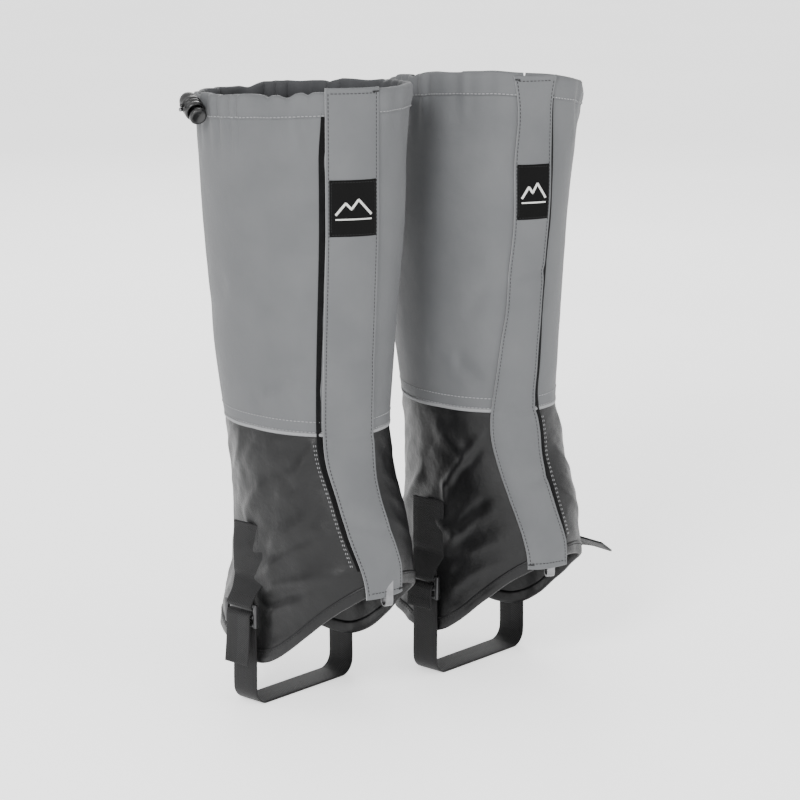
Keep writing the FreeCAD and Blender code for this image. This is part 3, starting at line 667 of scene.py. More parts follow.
def stitches(name, points, normals, finish, pitch=2.9, length=2.0, radius=0.28, sink=0.05):
    """A row of thread stitches along a line on the cloth, as small rounded bars; sizes in mm."""
    points, normals = np.asarray(points), np.asarray(normals)
    steps = np.concatenate([[0], np.cumsum(np.linalg.norm(np.diff(points, axis=0), axis=1))])
    count = int(steps[-1] / (pitch * MM))
    verts, faces = [], []
    ends = [(-0.5, 0.25), (-0.36, 0.9), (0.36, 0.9), (0.5, 0.25)]
    for place in (np.arange(count) + 0.5) * pitch * MM:
        pick = [np.interp([place - 0.3 * MM, place, place + 0.3 * MM], steps, points[:, k]) for k in range(3)]
        pick = np.array(pick).T
        normal = np.array([np.interp(place, steps, normals[:, k]) for k in range(3)])
        way = pick[2] - pick[0]
        way /= np.linalg.norm(way)
        normal = normal - way * (normal @ way)
        normal /= np.linalg.norm(normal)
        side = np.cross(way, normal)
        first = len(verts)
        for along, thick in ends:
            middle = pick[1] + way * along * length * MM + normal * (radius * thick * 0.6 - sink) * MM
            for turn in np.arange(6) * math.pi / 3:
                way_out = side * math.cos(turn) + normal * 0.8 * math.sin(turn)
                verts.append(middle + way_out * radius * thick * MM)
        faces += [tuple(first + k for k in face) for face in grid_faces(4, 6, closed=True)]
        faces += [tuple(first + k for k in range(5, -1, -1)), tuple(first + 18 + k for k in range(6))]
    return make_mesh(name, verts, faces, [finish], [(v[0] + v[1], v[2]) for v in verts])


def wears(obj, slot, *replaced):
    """Hides the CAD nodes that a piece stands for; slot is not used."""
    if replaced:
        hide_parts(*replaced)
    return obj


def rides(obj, body, slot, *replaced):
    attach(obj, body)
    return wears(obj, slot, *replaced)


# ---------------------------------------------------------------- cloth pieces

SLIT_SHARE = 0.18   # where the slit lies under the flap, from its sewn edge, as a share of its width
SLIT_GAP = 0.012    # how far each layer stops from the slit, in radians round the leg


def round_leg(gaiter, height, count, gap=SLIT_GAP):
    """Angles from one side of the slit right round to the other, at a height."""
    return gaiter.flap_angle(height, SLIT_SHARE) + np.linspace(gap, 2 * math.pi - gap, count)


def leg_grid(gaiter, low, high, rows, columns, offset=0.0):
    """Points of a layer that runs right round the leg between two borders (functions of the angle)."""
    points = []
    for share in np.linspace(0, 1, rows):
        angle = round_leg(gaiter, 0.3, columns)
        for _ in range(2):
            angle = round_leg(gaiter, low(angle) + (high(angle) - low(angle)) * share, columns)
        height = low(angle) + (high(angle) - low(angle)) * share
        points.append(gaiter.skin(angle, height, offset)[0])
    return np.array(points)


def upper_cloth(gaiter):
    side = gaiter.side
    foot = lambda angle: np.full_like(angle, gaiter.seam)
    points = leg_grid(gaiter, foot, lambda angle: gaiter.along(gaiter.casing_foot, angle) + 0.004, 110, 260)
    cloth = cloth_grid(side + "_upper_cloth", points, ["grey", "lining"], 0.9 * MM)
    rides(cloth, side + "_shell", "grey_coated_cloth", side + "_upper_outer_panel",
          side + "_upper_inner_panel")


def lower_cloth(gaiter):
    side = gaiter.side
    top = lambda angle: np.full_like(angle, gaiter.seam + 0.0004)
    points = leg_grid(gaiter, lambda angle: gaiter.along(gaiter.low, angle) + 0.004, top, 110, 300, -0.0003)
    cloth = cloth_grid(side + "_lower_cloth", points, ["black"], 0.9 * MM)
    rides(cloth, side + "_shell", "black_cloth", side + "_lower_outer_panel", side + "_lower_inner_panel")


# each dip in the gathered rim: its angle and half width in degrees, and its share of the casing's height
RIM_DIPS = {
    "right": ((-73, 2.2, 0.09), (-60, 4.5, 0.17), (-47, 1.8, 0.1), (165, 3, 0.1), (-140, 3, 0.1),
              (120, 3, 0.1), (70, 3, 0.1)),
    "left": ((26, 2.5, 0.22), (33, 1.8, 0.1), (-160, 3, 0.1), (-110, 3, 0.1), (140, 3, 0.1)),
}


def rim_dips(gaiter, angle):
    """Where the gathered rim dips, as a share of the casing's height."""
    total = 0.03 * (1 + math.sin(angle * 9)) * (0.4 + 0.6 * (math.cos(angle) < 0.4))
    for place, width, depth in RIM_DIPS[gaiter.side]:
        away = (math.degrees(angle) - place + 180) % 360 - 180
        total += depth * math.exp(-(away / width) ** 2)
    return total


def edge_band(gaiter, name, profile, base, finishes, slot, *nodes, columns, lined_from=None):
    """A folded band round the leg: profile is (rise, offset) pairs in mm from a base height, and the faces
    from lined_from on show the lining."""
    rings = []
    for angle in round_leg(gaiter, float(np.mean(base)), columns):
        height = gaiter.along(base, angle)
        rises = np.array([rise for rise, _ in profile]) * MM
        if lined_from is not None:
            rises = rises * (1 - rim_dips(gaiter, angle))
        offsets = np.array([offset for _, offset in profile]) * MM
        rings.append(gaiter.skin(np.full(len(profile), angle), height + rises, offsets)[0])
    band = swept(gaiter.side + name, rings, finishes)
    if lined_from is not None:
        for polygon in band.data.polygons:
            if min(index % len(profile) for index in polygon.vertices) >= lined_from:
                polygon.material_index = 1
    return rides(band, gaiter.side + "_shell", slot, *[gaiter.side + node for node in nodes])


def top_casing(gaiter):
    """The channel round the rim: it bulges over the cord and rolls over at the top."""
    profile = [(0, 0.15), (1.2, 0.9), (3, 0.75), (6, 1.25), (10, 1.5), (14, 1.2), (17, 0.8), (18.3, -0.2),
               (18.6, -1.8), (18.2, -3.6), (16.5, -4.8), (12, -5.3), (7, -5.0), (3, -3.2), (0.8, -1.8),
               (0, -1.0)]
    edge_band(gaiter, "_casing", profile, gaiter.rim - 0.018, ["grey", "lining"], "grey_coated_cloth",
              "_top_casing", columns=420, lined_from=8)
    path = []
    for angle in round_leg(gaiter, 0.468, 200, gap=0.05):
        path.append(gaiter.skin(angle, gaiter.along(gaiter.rim, angle) - 0.009, -0.0019)[0])
    cord = round_cord(gaiter.side + "_drawcord_in_casing", path, 1.25 * MM, "cord")
    rides(cord, gaiter.side + "_shell", "elastic_cord", gaiter.side + "_drawcord")


def bottom_hem(gaiter):
    """The bound edge: a fold of the black cloth under the lower border."""
    profile = [(10.5, 0.1), (9.6, 0.75), (8.4, 0.5), (5, 0.95), (1.5, 0.9), (0.1, 0.1), (-0.2, -0.7),
               (0.3, -1.6), (3, -2.0), (8, -1.9), (10.5, -1.2)]
    edge_band(gaiter, "_hem", profile, gaiter.low, ["black"], "black_cloth", "_bottom_hem", columns=340)


FLAP_WIDTH = 0.040
FLAP_MM = FLAP_WIDTH / MM
FLAP_FOLLOW = 0.55   # how much of the leg's folds shows through the flap
# the flap's creases: height, and how far they slant across it, in metres
FLAP_CREASES = {
    "right": ((0.279, 0.002), (0.221, 0.0), (0.150, 0.006)),
    "left": ((0.224, 0.0), (0.160, 0.01), (0.330, 0.004)),
}


def flap_lift(gaiter, height, across):
    """How far the flap's face stands off the leg: low at its seam, higher and wavy at its free edge."""
    wave = 0.5 * np.sin(height * 62 + 1.1) + 0.4 * np.sin(height * 131 + 0.4)
    free = smooth_step(across, 0.55, 1.0)
    sewn = 1 - smooth_step(across, 0.0, 0.25)
    crease = 0.0
    for level, slant in FLAP_CREASES[gaiter.side]:
        crease = crease - 1.3 * np.exp(-((height - level - slant * across) / 0.0042) ** 2)
    return (2.55 + free * (0.35 + 0.55 * wave) - 0.9 * sewn + crease * (0.4 + 0.6 * across)) * MM


# across the flap from its sewn edge, in mm, and how far its face rises there over the cloth's middle
FLAP_SECTION = [(0.0, -0.75), (0.1, -0.15), (0.5, 0.42), (1.2, 0.55), (1.9, 0.3), (2.5, 0.0), (3.4, 0.16),
                (8, 0.3), (14, 0.34), (20, 0.36), (26, 0.34), (32, 0.3), (36.6, 0.16), (37.5, 0.0),
                (38.1, 0.3), (38.8, 0.55), (39.5, 0.42), (39.9, -0.15), (40.0, -0.75)]
FLAP_BACK = -1.15


def on_flap(gaiter, height, across, rise):
    """Points, normals a rise in mm over the flap's face; across is 0 at its sewn edge, 1 at its free edge."""
    across = np.asarray(across, float)
    height = np.broadcast_to(np.asarray(height, float), across.shape)
    offset = flap_lift(gaiter, height, across) + np.asarray(rise) * MM
    return gaiter.skin(gaiter.flap_angle(height, across), height, offset, FLAP_FOLLOW)


def flap_ring(gaiter, height, section):
    """One closed ring round the flap's thickness, at a height."""
    back = [(place, FLAP_BACK) for place, _ in section[::-1][1:-1]]
    across, rises = np.array(section + back).T
    return on_flap(gaiter, height, across / FLAP_MM, rises)[0]


def front_flap(gaiter):
    """The closing flap in one length, with folded edges, and the hook tape behind it."""
    side = gaiter.side
    low, high = gaiter.flap_low, gaiter.flap_top
    # its two ends are closed by flatter rings
    rings = [flap_ring(gaiter, low + rise * MM, [(x, min(y, cap)) for x, y in FLAP_SECTION])
             for rise, cap in ((0.0, -0.6), (0.25, 0.0))]
    rings += [flap_ring(gaiter, height, FLAP_SECTION)
              for height in np.linspace(low + 0.001, high - 0.001, 300)]
    rings += [flap_ring(gaiter, high - rise * MM, [(x, min(y, cap)) for x, y in FLAP_SECTION])
              for rise, cap in ((0.25, 0.0), (0.0, -0.6))]
    flap = swept(side + "_closing_flap", rings, ["grey", "edge"])
    # the folded edges are painted paler, a painted highlight, on both sides of the flap
    columns, count = len(rings[0]), len(FLAP_SECTION)
    pale = {0, 1, 2, count - 3, count - 2, count - 1, columns - 1}
    for polygon in flap.data.polygons:
        if all(index % columns in pale for index in polygon.vertices):
            polygon.material_index = 1
    across_edges(gaiter, flap)
    places, rises = np.array([(11, -1.25), (11.2, -1.7), (35.8, -1.7), (36, -1.25)]).T
    hooks = [on_flap(gaiter, height, places / FLAP_MM, rises)[0]
             for height in np.linspace(0.124, high - 0.016, 160)]
    tape = swept(side + "_hook_strip", hooks, ["tape"])
    bends_with_flap(gaiter, flap, "grey_coated_cloth", side + "_front_flap", side + "_front_flap_foot")
    bends_with_flap(gaiter, tape, "touch_tape", side + "_hook_tape", side + "_hook_tape_foot")


def across_edges(gaiter, flap):
    """Gives the flap a UV that runs across it and along it, in metres."""
    layer = flap.data.uv_layers["UVMap"]
    for loop in flap.data.loops:
        place = flap.data.vertices[loop.vertex_index].co
        angle = math.atan2(place.x - gaiter.centre[0], -(place.y - gaiter.centre[1]))
        layer.data[loop.index].uv = (angle * 0.075, place.z)


def bends_with_flap(gaiter, piece, slot, *replaced):
    """Bakes the piece's placing into its mesh and hides the CAD nodes that it stands for."""
    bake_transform(piece)
    wears(piece, slot, *replaced)


def tape_strips(gaiter):
    """The loop tape that shows beside the flap's free edge, and the folded tape under its seam."""
    side = gaiter.side
    low, high = 0.121, 0.472
    beyond = 5.2 / FLAP_MM
    for name, node, first, last, proud, finish, slot in (
            ("_loop_strip", "_loop_tape", 0.3, None, 0.9, "tape", "touch_tape"),
            ("_seam_tape", "_flap_binding", 0.01, 0.15, 1.2, "grey", "grey_coated_cloth")):
        rings = []
        for height in np.linspace(low, high, 220):
            at_foot, at_rim = 1 - smooth_step(height, low, low + 0.03), smooth_step(height, 0.43, high)
            end = last or 1 + beyond * (1 - 0.35 * at_foot - 0.45 * at_rim)
            across = np.array([first, first, end - 0.01, end, end - 0.01])
            offsets = np.array([0.05, proud, proud, proud * 0.4, 0.05]) * MM
            rings.append(gaiter.skin(gaiter.flap_angle(height, across), np.full(5, height), offsets, 0.75)[0])
        rides(swept(side + name, rings, [finish]), side + "_shell", slot, side + node)


# ---------------------------------------------------------------- stitching

def leg_line(gaiter, heights, offset, count=700, gap=0.02):
    """A line round the leg, offset in mm, at a height that may vary with the angle."""
    angle = round_leg(gaiter, heights(round_leg(gaiter, 0.3, count, gap)), count, gap)
    return gaiter.skin(angle, heights(angle), offset * MM)


def seams(gaiter):
    """Rows of thread round the leg: under the casing, over the colour change and along the hem."""
    side = gaiter.side
    level = lambda height: (lambda angle: np.full_like(angle, height))
    under_rim = lambda angle: gaiter.along(gaiter.rim, angle) - 0.0165
    over_hem = lambda angle: gaiter.along(gaiter.low, angle) + 0.0082
    grey, black = ("grey_thread", "grey_coated_cloth"), ("black_thread", "black_cloth")
    rows = [("_casing_stitches", under_rim, 0.85, grey),
            ("_upper_seam_stitches", level(gaiter.seam + 0.0105), 0.0, grey),
            ("_lower_seam_stitches", level(gaiter.seam + 0.0025), 0.0, grey),
            ("_hem_stitches", over_hem, 0.62, black)]
    for name, heights, offset, (finish, slot) in rows:
        points, normals = leg_line(gaiter, heights, offset)
        row = stitches(side + name, points, normals, finish, pitch=3.1, length=2.1, radius=0.34)
        rides(row, side + "_shell", slot)
    for name, turn in (("_back_seam_stitches", 0.0), ("_back_seam_second_row", 0.05)):
        heights = np.linspace(0.055, 0.452, 260)
        back = np.full_like(heights, math.pi + turn)
        points, normals = gaiter.skin(back, heights, 0.0)
        rides(stitches(side + name, points, normals, "black_thread"), side + "_shell", "black_cloth")


def tape_stitches(gaiter):
    """The pale row that holds the loop tape to the black cloth, beside the flap's free edge."""
    side = gaiter.side
    heights = np.linspace(float(gaiter.flap_low) + 0.024, gaiter.seam - 0.004, 160)
    for name, beyond in (("_tape_row", 1.16), ("_tape_second_row", 1.2)):
        points, normals = gaiter.skin(gaiter.flap_angle(heights, beyond), heights, 0.0)
        rides(stitches(side + name, points, normals, "grey_thread", pitch=3.4, length=1.6, radius=0.3),
              side + "_shell", "touch_tape")


def colour_change_fold(gaiter):
    """The grey cloth's folded lower edge, lapped over the black cloth, in the pale finish that paints a
    highlight along it.
    """
    profile = [(0.6, -0.2), (2.2, 0.35), (0.9, 0.6), (-0.3, 0.5), (-0.9, 0.1), (-0.5, -0.25)]
    level = np.full(len(ANGLES), gaiter.seam)
    edge_band(gaiter, "_lapped_edge", profile, level, ["edge"], "grey_coated_cloth", columns=300)


def flap_stitches(gaiter):
    side = gaiter.side
    for name, place in (("_flap_seam_stitches", 2.5), ("_flap_edge_stitches", 37.5)):
        heights = np.linspace(gaiter.flap_low + 0.003, gaiter.flap_top - 0.002, 400)
        points, normals = on_flap(gaiter, heights, np.full_like(heights, place / FLAP_MM), 0.06)
        row = stitches(side + name, points, normals, "black_thread", pitch=2.9, length=1.9, radius=0.3)
        bends_with_flap(gaiter, row, "grey_coated_cloth")
    for name, height, body in (("_flap_top_stitches", gaiter.flap_top - 0.004, "_flap"),
                               ("_flap_foot_stitches", gaiter.flap_low + 0.005, "_shell")):
        points, normals = on_flap(gaiter, height, np.linspace(0.08, 0.92, 60), 0.38)
        rides(stitches(side + name, points, normals, "black_thread"), side + body, "grey_coated_cloth")
    # bar tacks hold the ends of the flap's seam
    for name, height, body in (("_bar_tack_1", gaiter.flap_top - 0.003, "_flap"),
                               ("_bar_tack_2", gaiter.flap_low + 0.004, "_shell")):
        points, normals = on_flap(gaiter, height, np.linspace(0.01, 0.15, 20), 0.4)
        tack = stitches(side + name, points, normals, "black_thread", pitch=0.7, length=0.65, radius=0.55)
        rides(tack, side + body, "black_cloth")


# ---------------------------------------------------------------- the black patch

def flap_spot(gaiter, across, height, rise):
    """Points on the flap's face, with across in mm from its middle, + to the wearer's left."""
    share = 0.5 + np.asarray(across, float) / FLAP_MM * (1 if gaiter.side == "left" else -1)
    return on_flap(gaiter, height, share, rise)


# the patch's mark, two peaks over a line, in mm from the patch's middle, with each thread's width
PATCH_MARKS = {
    "_peak_mark": ([(-12.5, -4.5), (-5.5, 4.0), (-1.5, -0.6), (3.5, 6.5), (12.5, -4.5)], 1.9),
    "_line_mark": ([(-12.5, -8.0), (12.5, -8.0)], 1.2),
}
PATCH_BORDER = [(-15.6, -19.4), (15.6, -19.4), (15.6, 19.4), (-15.6, 19.4), (-15.6, -19.4)]
PATCH_HALF_WIDTH = 17.0


def toward_edges(fine, count):
    """Places from -1 to 1, close together near both ends."""
    return np.array([-x for x in fine] + list(np.linspace(-0.8, 0.8, count)) + list(fine[::-1]))


def woven_patch(gaiter):
    """The black patch on the flap: a folded edge, a sewn border and a plain embroidered mark."""
    side = gaiter.side
    low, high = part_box(side + "_label")
    middle, tall = (low.z + high.z) / 2, (high.z - low.z) / 2
    across = toward_edges((1, 0.985, 0.95, 0.9, 0.86), 15) * PATCH_HALF_WIDTH
    points = []
    for row in toward_edges((1, 0.988, 0.96, 0.92, 0.885), 17) * tall:
        edge = np.minimum(PATCH_HALF_WIDTH - np.abs(across), (tall - abs(row)) / MM)
        rise = 0.42 + 0.5 * smooth_step(edge, -0.1, 0.5) + 0.18 * np.exp(-((edge - 1.0) / 0.6) ** 2)
        points.append(flap_spot(gaiter, across, middle + row, rise)[0])
    patch = cloth_grid(side + "_woven_patch", np.array(points), ["patch"], 0.5 * MM)
    rides(patch, side + "_flap", "woven_label", side + "_label")
    for name, (corners, width) in PATCH_MARKS.items():
        corners = np.array(corners, float)
        steps = np.concatenate([[0], np.cumsum(np.linalg.norm(np.diff(corners, axis=0), axis=1))])
        places = np.linspace(0, steps[-1], int(steps[-1] * 1.6))
        x, z = [np.interp(places, steps, corners[:, k]) for k in (0, 1)]
        points, normals = flap_spot(gaiter, x, middle + z * MM, 1.02)
        rides(satin(side + name, points, normals, width), side + "_flap", "woven_label")
    spots = np.concatenate([np.linspace(a, b, 60) for a, b in zip(PATCH_BORDER, PATCH_BORDER[1:])])
    points, normals = flap_spot(gaiter, spots[:, 0], middle + spots[:, 1] * MM, 1.0)
    border = stitches(side + "_patch_stitches", points, normals, "black_thread", pitch=2.2, length=1.5,
                      radius=0.2)
    rides(border, side + "_flap", "black_cloth")


def satin(name, points, normals, width):
    """Close stitches side by side across a line."""
    verts, faces = [], []
    along = np.gradient(points, axis=0)
    along /= np.linalg.norm(along, axis=1, keepdims=True)
    for point, normal, way in zip(points, normals, along):
        side = np.cross(way, normal)
        first = len(verts)
        for x, thick in ((-0.5, 0.35), (-0.36, 1.0), (0.36, 1.0), (0.5, 0.35)):
            middle = point + side * x * width * MM
            for turn in np.linspace(0, 2 * math.pi, 6, endpoint=False):
                way_out = way * math.cos(turn) * 0.34 + normal * math.sin(turn) * 0.2
                verts.append(middle + way_out * thick * MM)
        faces += [tuple(first + k for k in face[::-1]) for face in grid_faces(4, 6, closed=True)]
        faces += [tuple(first + k for k in range(6)), tuple(first + 18 + k for k in range(5, -1, -1))]
    return make_mesh(name, verts, faces, ["mark"], [(v[0] + v[1], v[2]) for v in verts])


# ---------------------------------------------------------------- cord lock

def cord_lock(gaiter):
    """The barrel lock at the rim: barrel, button, eyelets and the two cord ends."""
    side = gaiter.side
    out = Vector(JOINTS[side + "_cord_lock_slide"]["axis"])
    barrel = -Vector(JOINTS[side + "_lock_button_slide"]["axis"])
    points = [vertex.co for vertex in frame["nodes"][side + "_cord_lock"].data.vertices]
    reach = [point.dot(barrel) for point in points]
    low, high = min(reach), max(reach)
    radius = 7.2 * MM
    aside = barrel.cross(out)
    middle = Vector((0, 0, 0))
    for way in (out, aside):
        spans = [point.dot(way) for point in points]
        middle += way * (min(spans) + max(spans)) / 2
    dome = middle + barrel * (low + radius)
    length = high - low - radius
    round_end = [(-radius * math.cos(t), radius * math.sin(t)) for t in np.linspace(0, math.pi / 2, 12)]
    # the barrel with its three grip rings and its mouth, then the well inside: shares of length and radius
    body = [(0.15, 1), (0.3, 1), (0.33, 1.09), (0.41, 1.09), (0.44, 1), (0.52, 1), (0.55, 1.09), (0.63, 1.09),
            (0.66, 1), (0.74, 1), (0.77, 1.09), (0.9, 1.09), (0.97, 1.05), (1.0, 0.97), (1.0, 0.77),
            (0.9, 0.75), (0.02, 0.74), (0.02, 0.0)]
    profile = round_end + [(x * length, r * radius) for x, r in body]
    rides(lathe(side + "_lock_barrel", dome, barrel, profile, ["plastic"]), side + "_cord_lock",
          "black_plastic", side + "_cord_lock")
    button = [vertex.co.dot(barrel) for vertex in frame["nodes"][side + "_lock_button"].data.vertices]
    top = max(button) - (low + radius)
    outline = [(14, 0), (14, 4.9), (3.6, 4.9), (3.4, 5.4), (3.2, 6.2), (2.8, 6.6), (0.8, 6.6), (0.2, 6.2),
               (0, 5.6), (0.1, 4.4), (0.7, 3.6), (0.8, 0)]
    profile = [(top - depth * MM, reach * MM) for depth, reach in outline]
    rides(lathe(side + "_push_button", dome, barrel, profile, ["plastic"]), side + "_lock_button",
          "black_plastic", side + "_lock_button")
    low_end, high_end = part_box(side + "_cord_eyelet")
    eyelet = (low_end + high_end) / 2
    across = out.cross(barrel)
    for number, step in enumerate((-1.8 * MM, 1.8 * MM)):
        inside = eyelet - out * 2.2 * MM + across * step
        leave = eyelet + out * 1.5 * MM + across * step * 1.15 - UP * 0.5 * MM
        enter = middle + barrel * (low + radius + length / 2) + across * step - out * 7.6 * MM
        leave_lock = enter + out * 16.4 * MM
        path = smooth_path([inside, leave, enter, enter + out * 4 * MM, leave_lock - out * 3 * MM,
                            leave_lock], 40)
        cord = round_cord(side + "_cord_end_%d" % (number + 1), path, 1.25 * MM, "cord")
        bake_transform(cord)
        wears(cord, "elastic_cord", *([side + "_cord_ends"] if number == 0 else []))
        tip = lathe(side + "_cord_tip_%d" % (number + 1), leave_lock - out * 0.6 * MM, out,
                    [(x * MM, r * MM) for x, r in ((0, 1.2), (0.2, 1.45), (1.5, 1.5), (1.9, 1.1), (1.9, 0))],
                    ["steel" if number == 0 else "plastic"], 20)
        rides(tip, side + "_cord_lock", "black_plastic")
    ring = [(0, 1.9), (0.5, 1.75), (0.9, 2.2), (1.0, 3.2), (0.7, 4.2), (0.1, 4.4), (-0.1, 3.6), (-0.1, 2.1)]
    for number, step in enumerate((-2.1 * MM, 2.1 * MM)):
        centre = eyelet + across * step - out * 0.3 * MM
        profile = [(x * MM, r * 0.62 * MM) for x, r in ring]
        plate = lathe(side + "_eyelet_%d" % (number + 1), centre, out, profile + profile[:1], ["steel"], 28)
        rides(plate, side + "_shell", "steel", *([side + "_cord_eyelet"] if number == 0 else []))
    dress(side + "_lock_spring", "steel")


def smooth_path(points, count):
    """A curve through a few points, with even steps."""
    points = np.array([tuple(p) for p in points])
    dense = []
    padded = np.concatenate([[2 * points[0] - points[1]], points, [2 * points[-1] - points[-2]]])
    for a, b, c, d in zip(padded, padded[1:], padded[2:], padded[3:]):
        for t in np.linspace(0, 1, 24, endpoint=False):
            dense.append(0.5 * (2 * b + (c - a) * t + (2 * a - 5 * b + 4 * c - d) * t ** 2
                                + (3 * b - a - 3 * c + d) * t ** 3))
    dense = np.array(dense + [points[-1]])
    steps = np.concatenate([[0], np.cumsum(np.linalg.norm(np.diff(dense, axis=0), axis=1))])
    places = np.linspace(0, steps[-1], count)
    return np.stack([np.interp(places, steps, dense[:, k]) for k in range(3)], -1)


def dress(node, finish):
    """Gives a CAD node that stays in view a finish of its own."""
    mesh = frame["nodes"][node].data
    mesh.materials.clear()
    mesh.materials.append(FINISHES[finish])


# ---------------------------------------------------------------- tabs, buckles and straps

def webbing(name, middles, across, faces, width, thickness, finish="webbing"):
    return swept(name, band_rings(middles, across, faces, width, thickness), [finish])


TAB_HALF_BOX = 13.5 * MM


def beside_leg(gaiter, way, y, height, offset, start):
    """The point and normal on the leg's +x (way 1) or -x side (way -1), at a y and a height."""
    angle = math.atan2(way, -(start - gaiter.centre[1]) / 0.05)
    for _ in range(6):
        place, normal = gaiter.skin(angle, height, offset, 0.5)
        angle += (y - place[1]) * way / 0.06
    return place, normal


def hung_tab(gaiter, name, way):
    """A webbing tab sewn to the lower cloth, which goes round the buckle's top bar."""
    side = gaiter.side
    node = "%s_%s_tab" % (side, name)
    low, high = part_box(node)
    bar = np.array(JOINTS["%s_%s_buckle_hinge" % (side, name)]["pos_m"])
    along = (low.y + high.y) / 2
    sewn = [beside_leg(gaiter, way, along, height, 1.0 * MM, along)[0]
            for height in np.linspace(high.z, 0.098, 24)]
    wrap = 2.35 * MM
    loop = [bar + np.array([way * math.cos(t) * wrap, 0, -math.sin(t) * wrap])
            for t in np.linspace(-0.15, 1.15, 12) * math.pi]
    back = bar + np.array([-way * 1.9 * MM, 0, 7 * MM])
    path = smooth_path([sewn[0]] + sewn[3::4] + loop + [back], 90)
    runs = np.gradient(path, axis=0)
    runs /= np.linalg.norm(runs, axis=1, keepdims=True)
    across = np.array([0, 1.0, 0])
    rings = []
    for point, run in zip(path, runs):
        wide = (26.4 + 5.6 * smooth_step(point[2], 0.089, 0.1)) * MM
        rings += band_rings([point], [across], [np.cross(run, across)], wide, 1.4 * MM)
    tab = swept(side + "_%s_webbing_tab" % name, rings, ["webbing"])
    rides(tab, side + "_shell", "black_webbing", node)
    box_stitching(gaiter, name, way, along, high.z)


def box_stitching(gaiter, name, way, along, top):
    """The stitched box with a bar at its top that fixes a tab."""
    first, second, foot = top - 0.003, top - 0.0052, top - 0.026
    rows = {"top": (-1, first, 1, first), "second": (-1, second, 1, second), "foot": (-1, foot, 1, foot),
            "heel_side": (1, first, 1, foot), "toe_side": (-1, first, -1, foot),
            "cross_one": (-1, second, 1, foot), "cross_two": (1, second, -1, foot)}
    for row, (y_first, z_first, y_last, z_last) in rows.items():
        aside = np.linspace(y_first, y_last, 24) * TAB_HALF_BOX
        spots = [beside_leg(gaiter, way, along + y, z, 1.75 * MM, along)
                 for y, z in zip(aside, np.linspace(z_first, z_last, 24))]
        thread = stitches("%s_%s_tab_%s_row" % (gaiter.side, name, row), [p for p, _ in spots],
                          [n for _, n in spots], "black_thread", pitch=2.4, length=1.7, radius=0.24)
        rides(thread, gaiter.side + "_shell", "black_webbing")


def rounded_bar(name, first, last, across, up, half_width, half_height, corner, finish):
    """A bar with rounded corners and softened ends."""
    first, last = np.array(first), np.array(last)
    run = (last - first) / np.linalg.norm(last - first)
    rings = []
    length = np.linalg.norm(last - first)
    for along, share in ((0, 0.72), (0.25 * MM, 0.92), (0.6 * MM, 1), (length - 0.6 * MM, 1),
                         (length - 0.25 * MM, 0.92), (length, 0.72)):
        ring = []
        for quarter in range(4):
            for t in np.linspace(0, math.pi / 2, 5):
                turn = quarter * math.pi / 2 + t
                x = math.copysign(half_width - corner, math.cos(quarter * math.pi / 2 + math.pi / 4))
                y = math.copysign(half_height - corner, math.sin(quarter * math.pi / 2 + math.pi / 4))
                ring.append(first + run * along + across * (x + corner * math.cos(turn)) * share
                            + up * (y + corner * math.sin(turn)) * share)
        rings.append(ring)
    return swept(name, rings, [finish])


def ladder_buckle(gaiter, name, way):
    """Two arms, three bars and a ribbed lip on the lowest bar."""
    side = gaiter.side
    node = "%s_%s_buckle" % (side, name)
    low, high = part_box(node)
    top = np.array(JOINTS["%s_%s_buckle_hinge" % (side, name)]["pos_m"])
    middle_drop = top[2] - JOINTS[side + "_strap_hinge"]["pos_m"][2]
    across, up, out = np.array([0, 1.0, 0]), np.array([0, 0, 1.0]), np.array([float(way), 0, 0])
    arm = 1.7 * MM
    pieces = []
    for y, label in ((low.y + arm, "toe_arm"), (high.y - arm, "heel_arm")):
        foot = np.array([top[0], y, low.z])
        head = np.array([top[0], y, high.z])
        pieces.append(rounded_bar("%s_%s" % (node, label), foot, head, across, out, arm, 1.6 * MM, 0.9 * MM,
                                  "lacquer"))
    half = (high.y - low.y) / 2 - 1.2 * MM
    low_bar = low.z + 1.6 * MM
    for z, label in ((top[2], "top_bar"), (top[2] - middle_drop, "middle_bar"), (low_bar, "lower_bar")):
        centre = np.array([top[0], (low.y + high.y) / 2, z])
        run = [centre + across * aside for aside in np.linspace(-half, half, 8)]
        thick = (1.3 if label == "lower_bar" else 1.55) * MM
        pieces.append(round_cord("%s_%s" % (node, label), run, thick, "lacquer", 20))
    for number, y in enumerate(np.linspace(-9, 9, 7) * MM):
        centre = np.array([top[0] + way * 0.9 * MM, (low.y + high.y) / 2 + y, low_bar])
        foot, head = centre - up * 1.3 * MM, centre + up * 1.3 * MM
        pieces.append(rounded_bar("%s_grip_%d" % (node, number + 1), foot, head, across, out, 0.5 * MM,
                                  0.55 * MM, 0.25 * MM, "lacquer"))
    for number, piece in enumerate(pieces):
        rides(piece, node, "buckle_metal", *([node] if number == 0 else []))


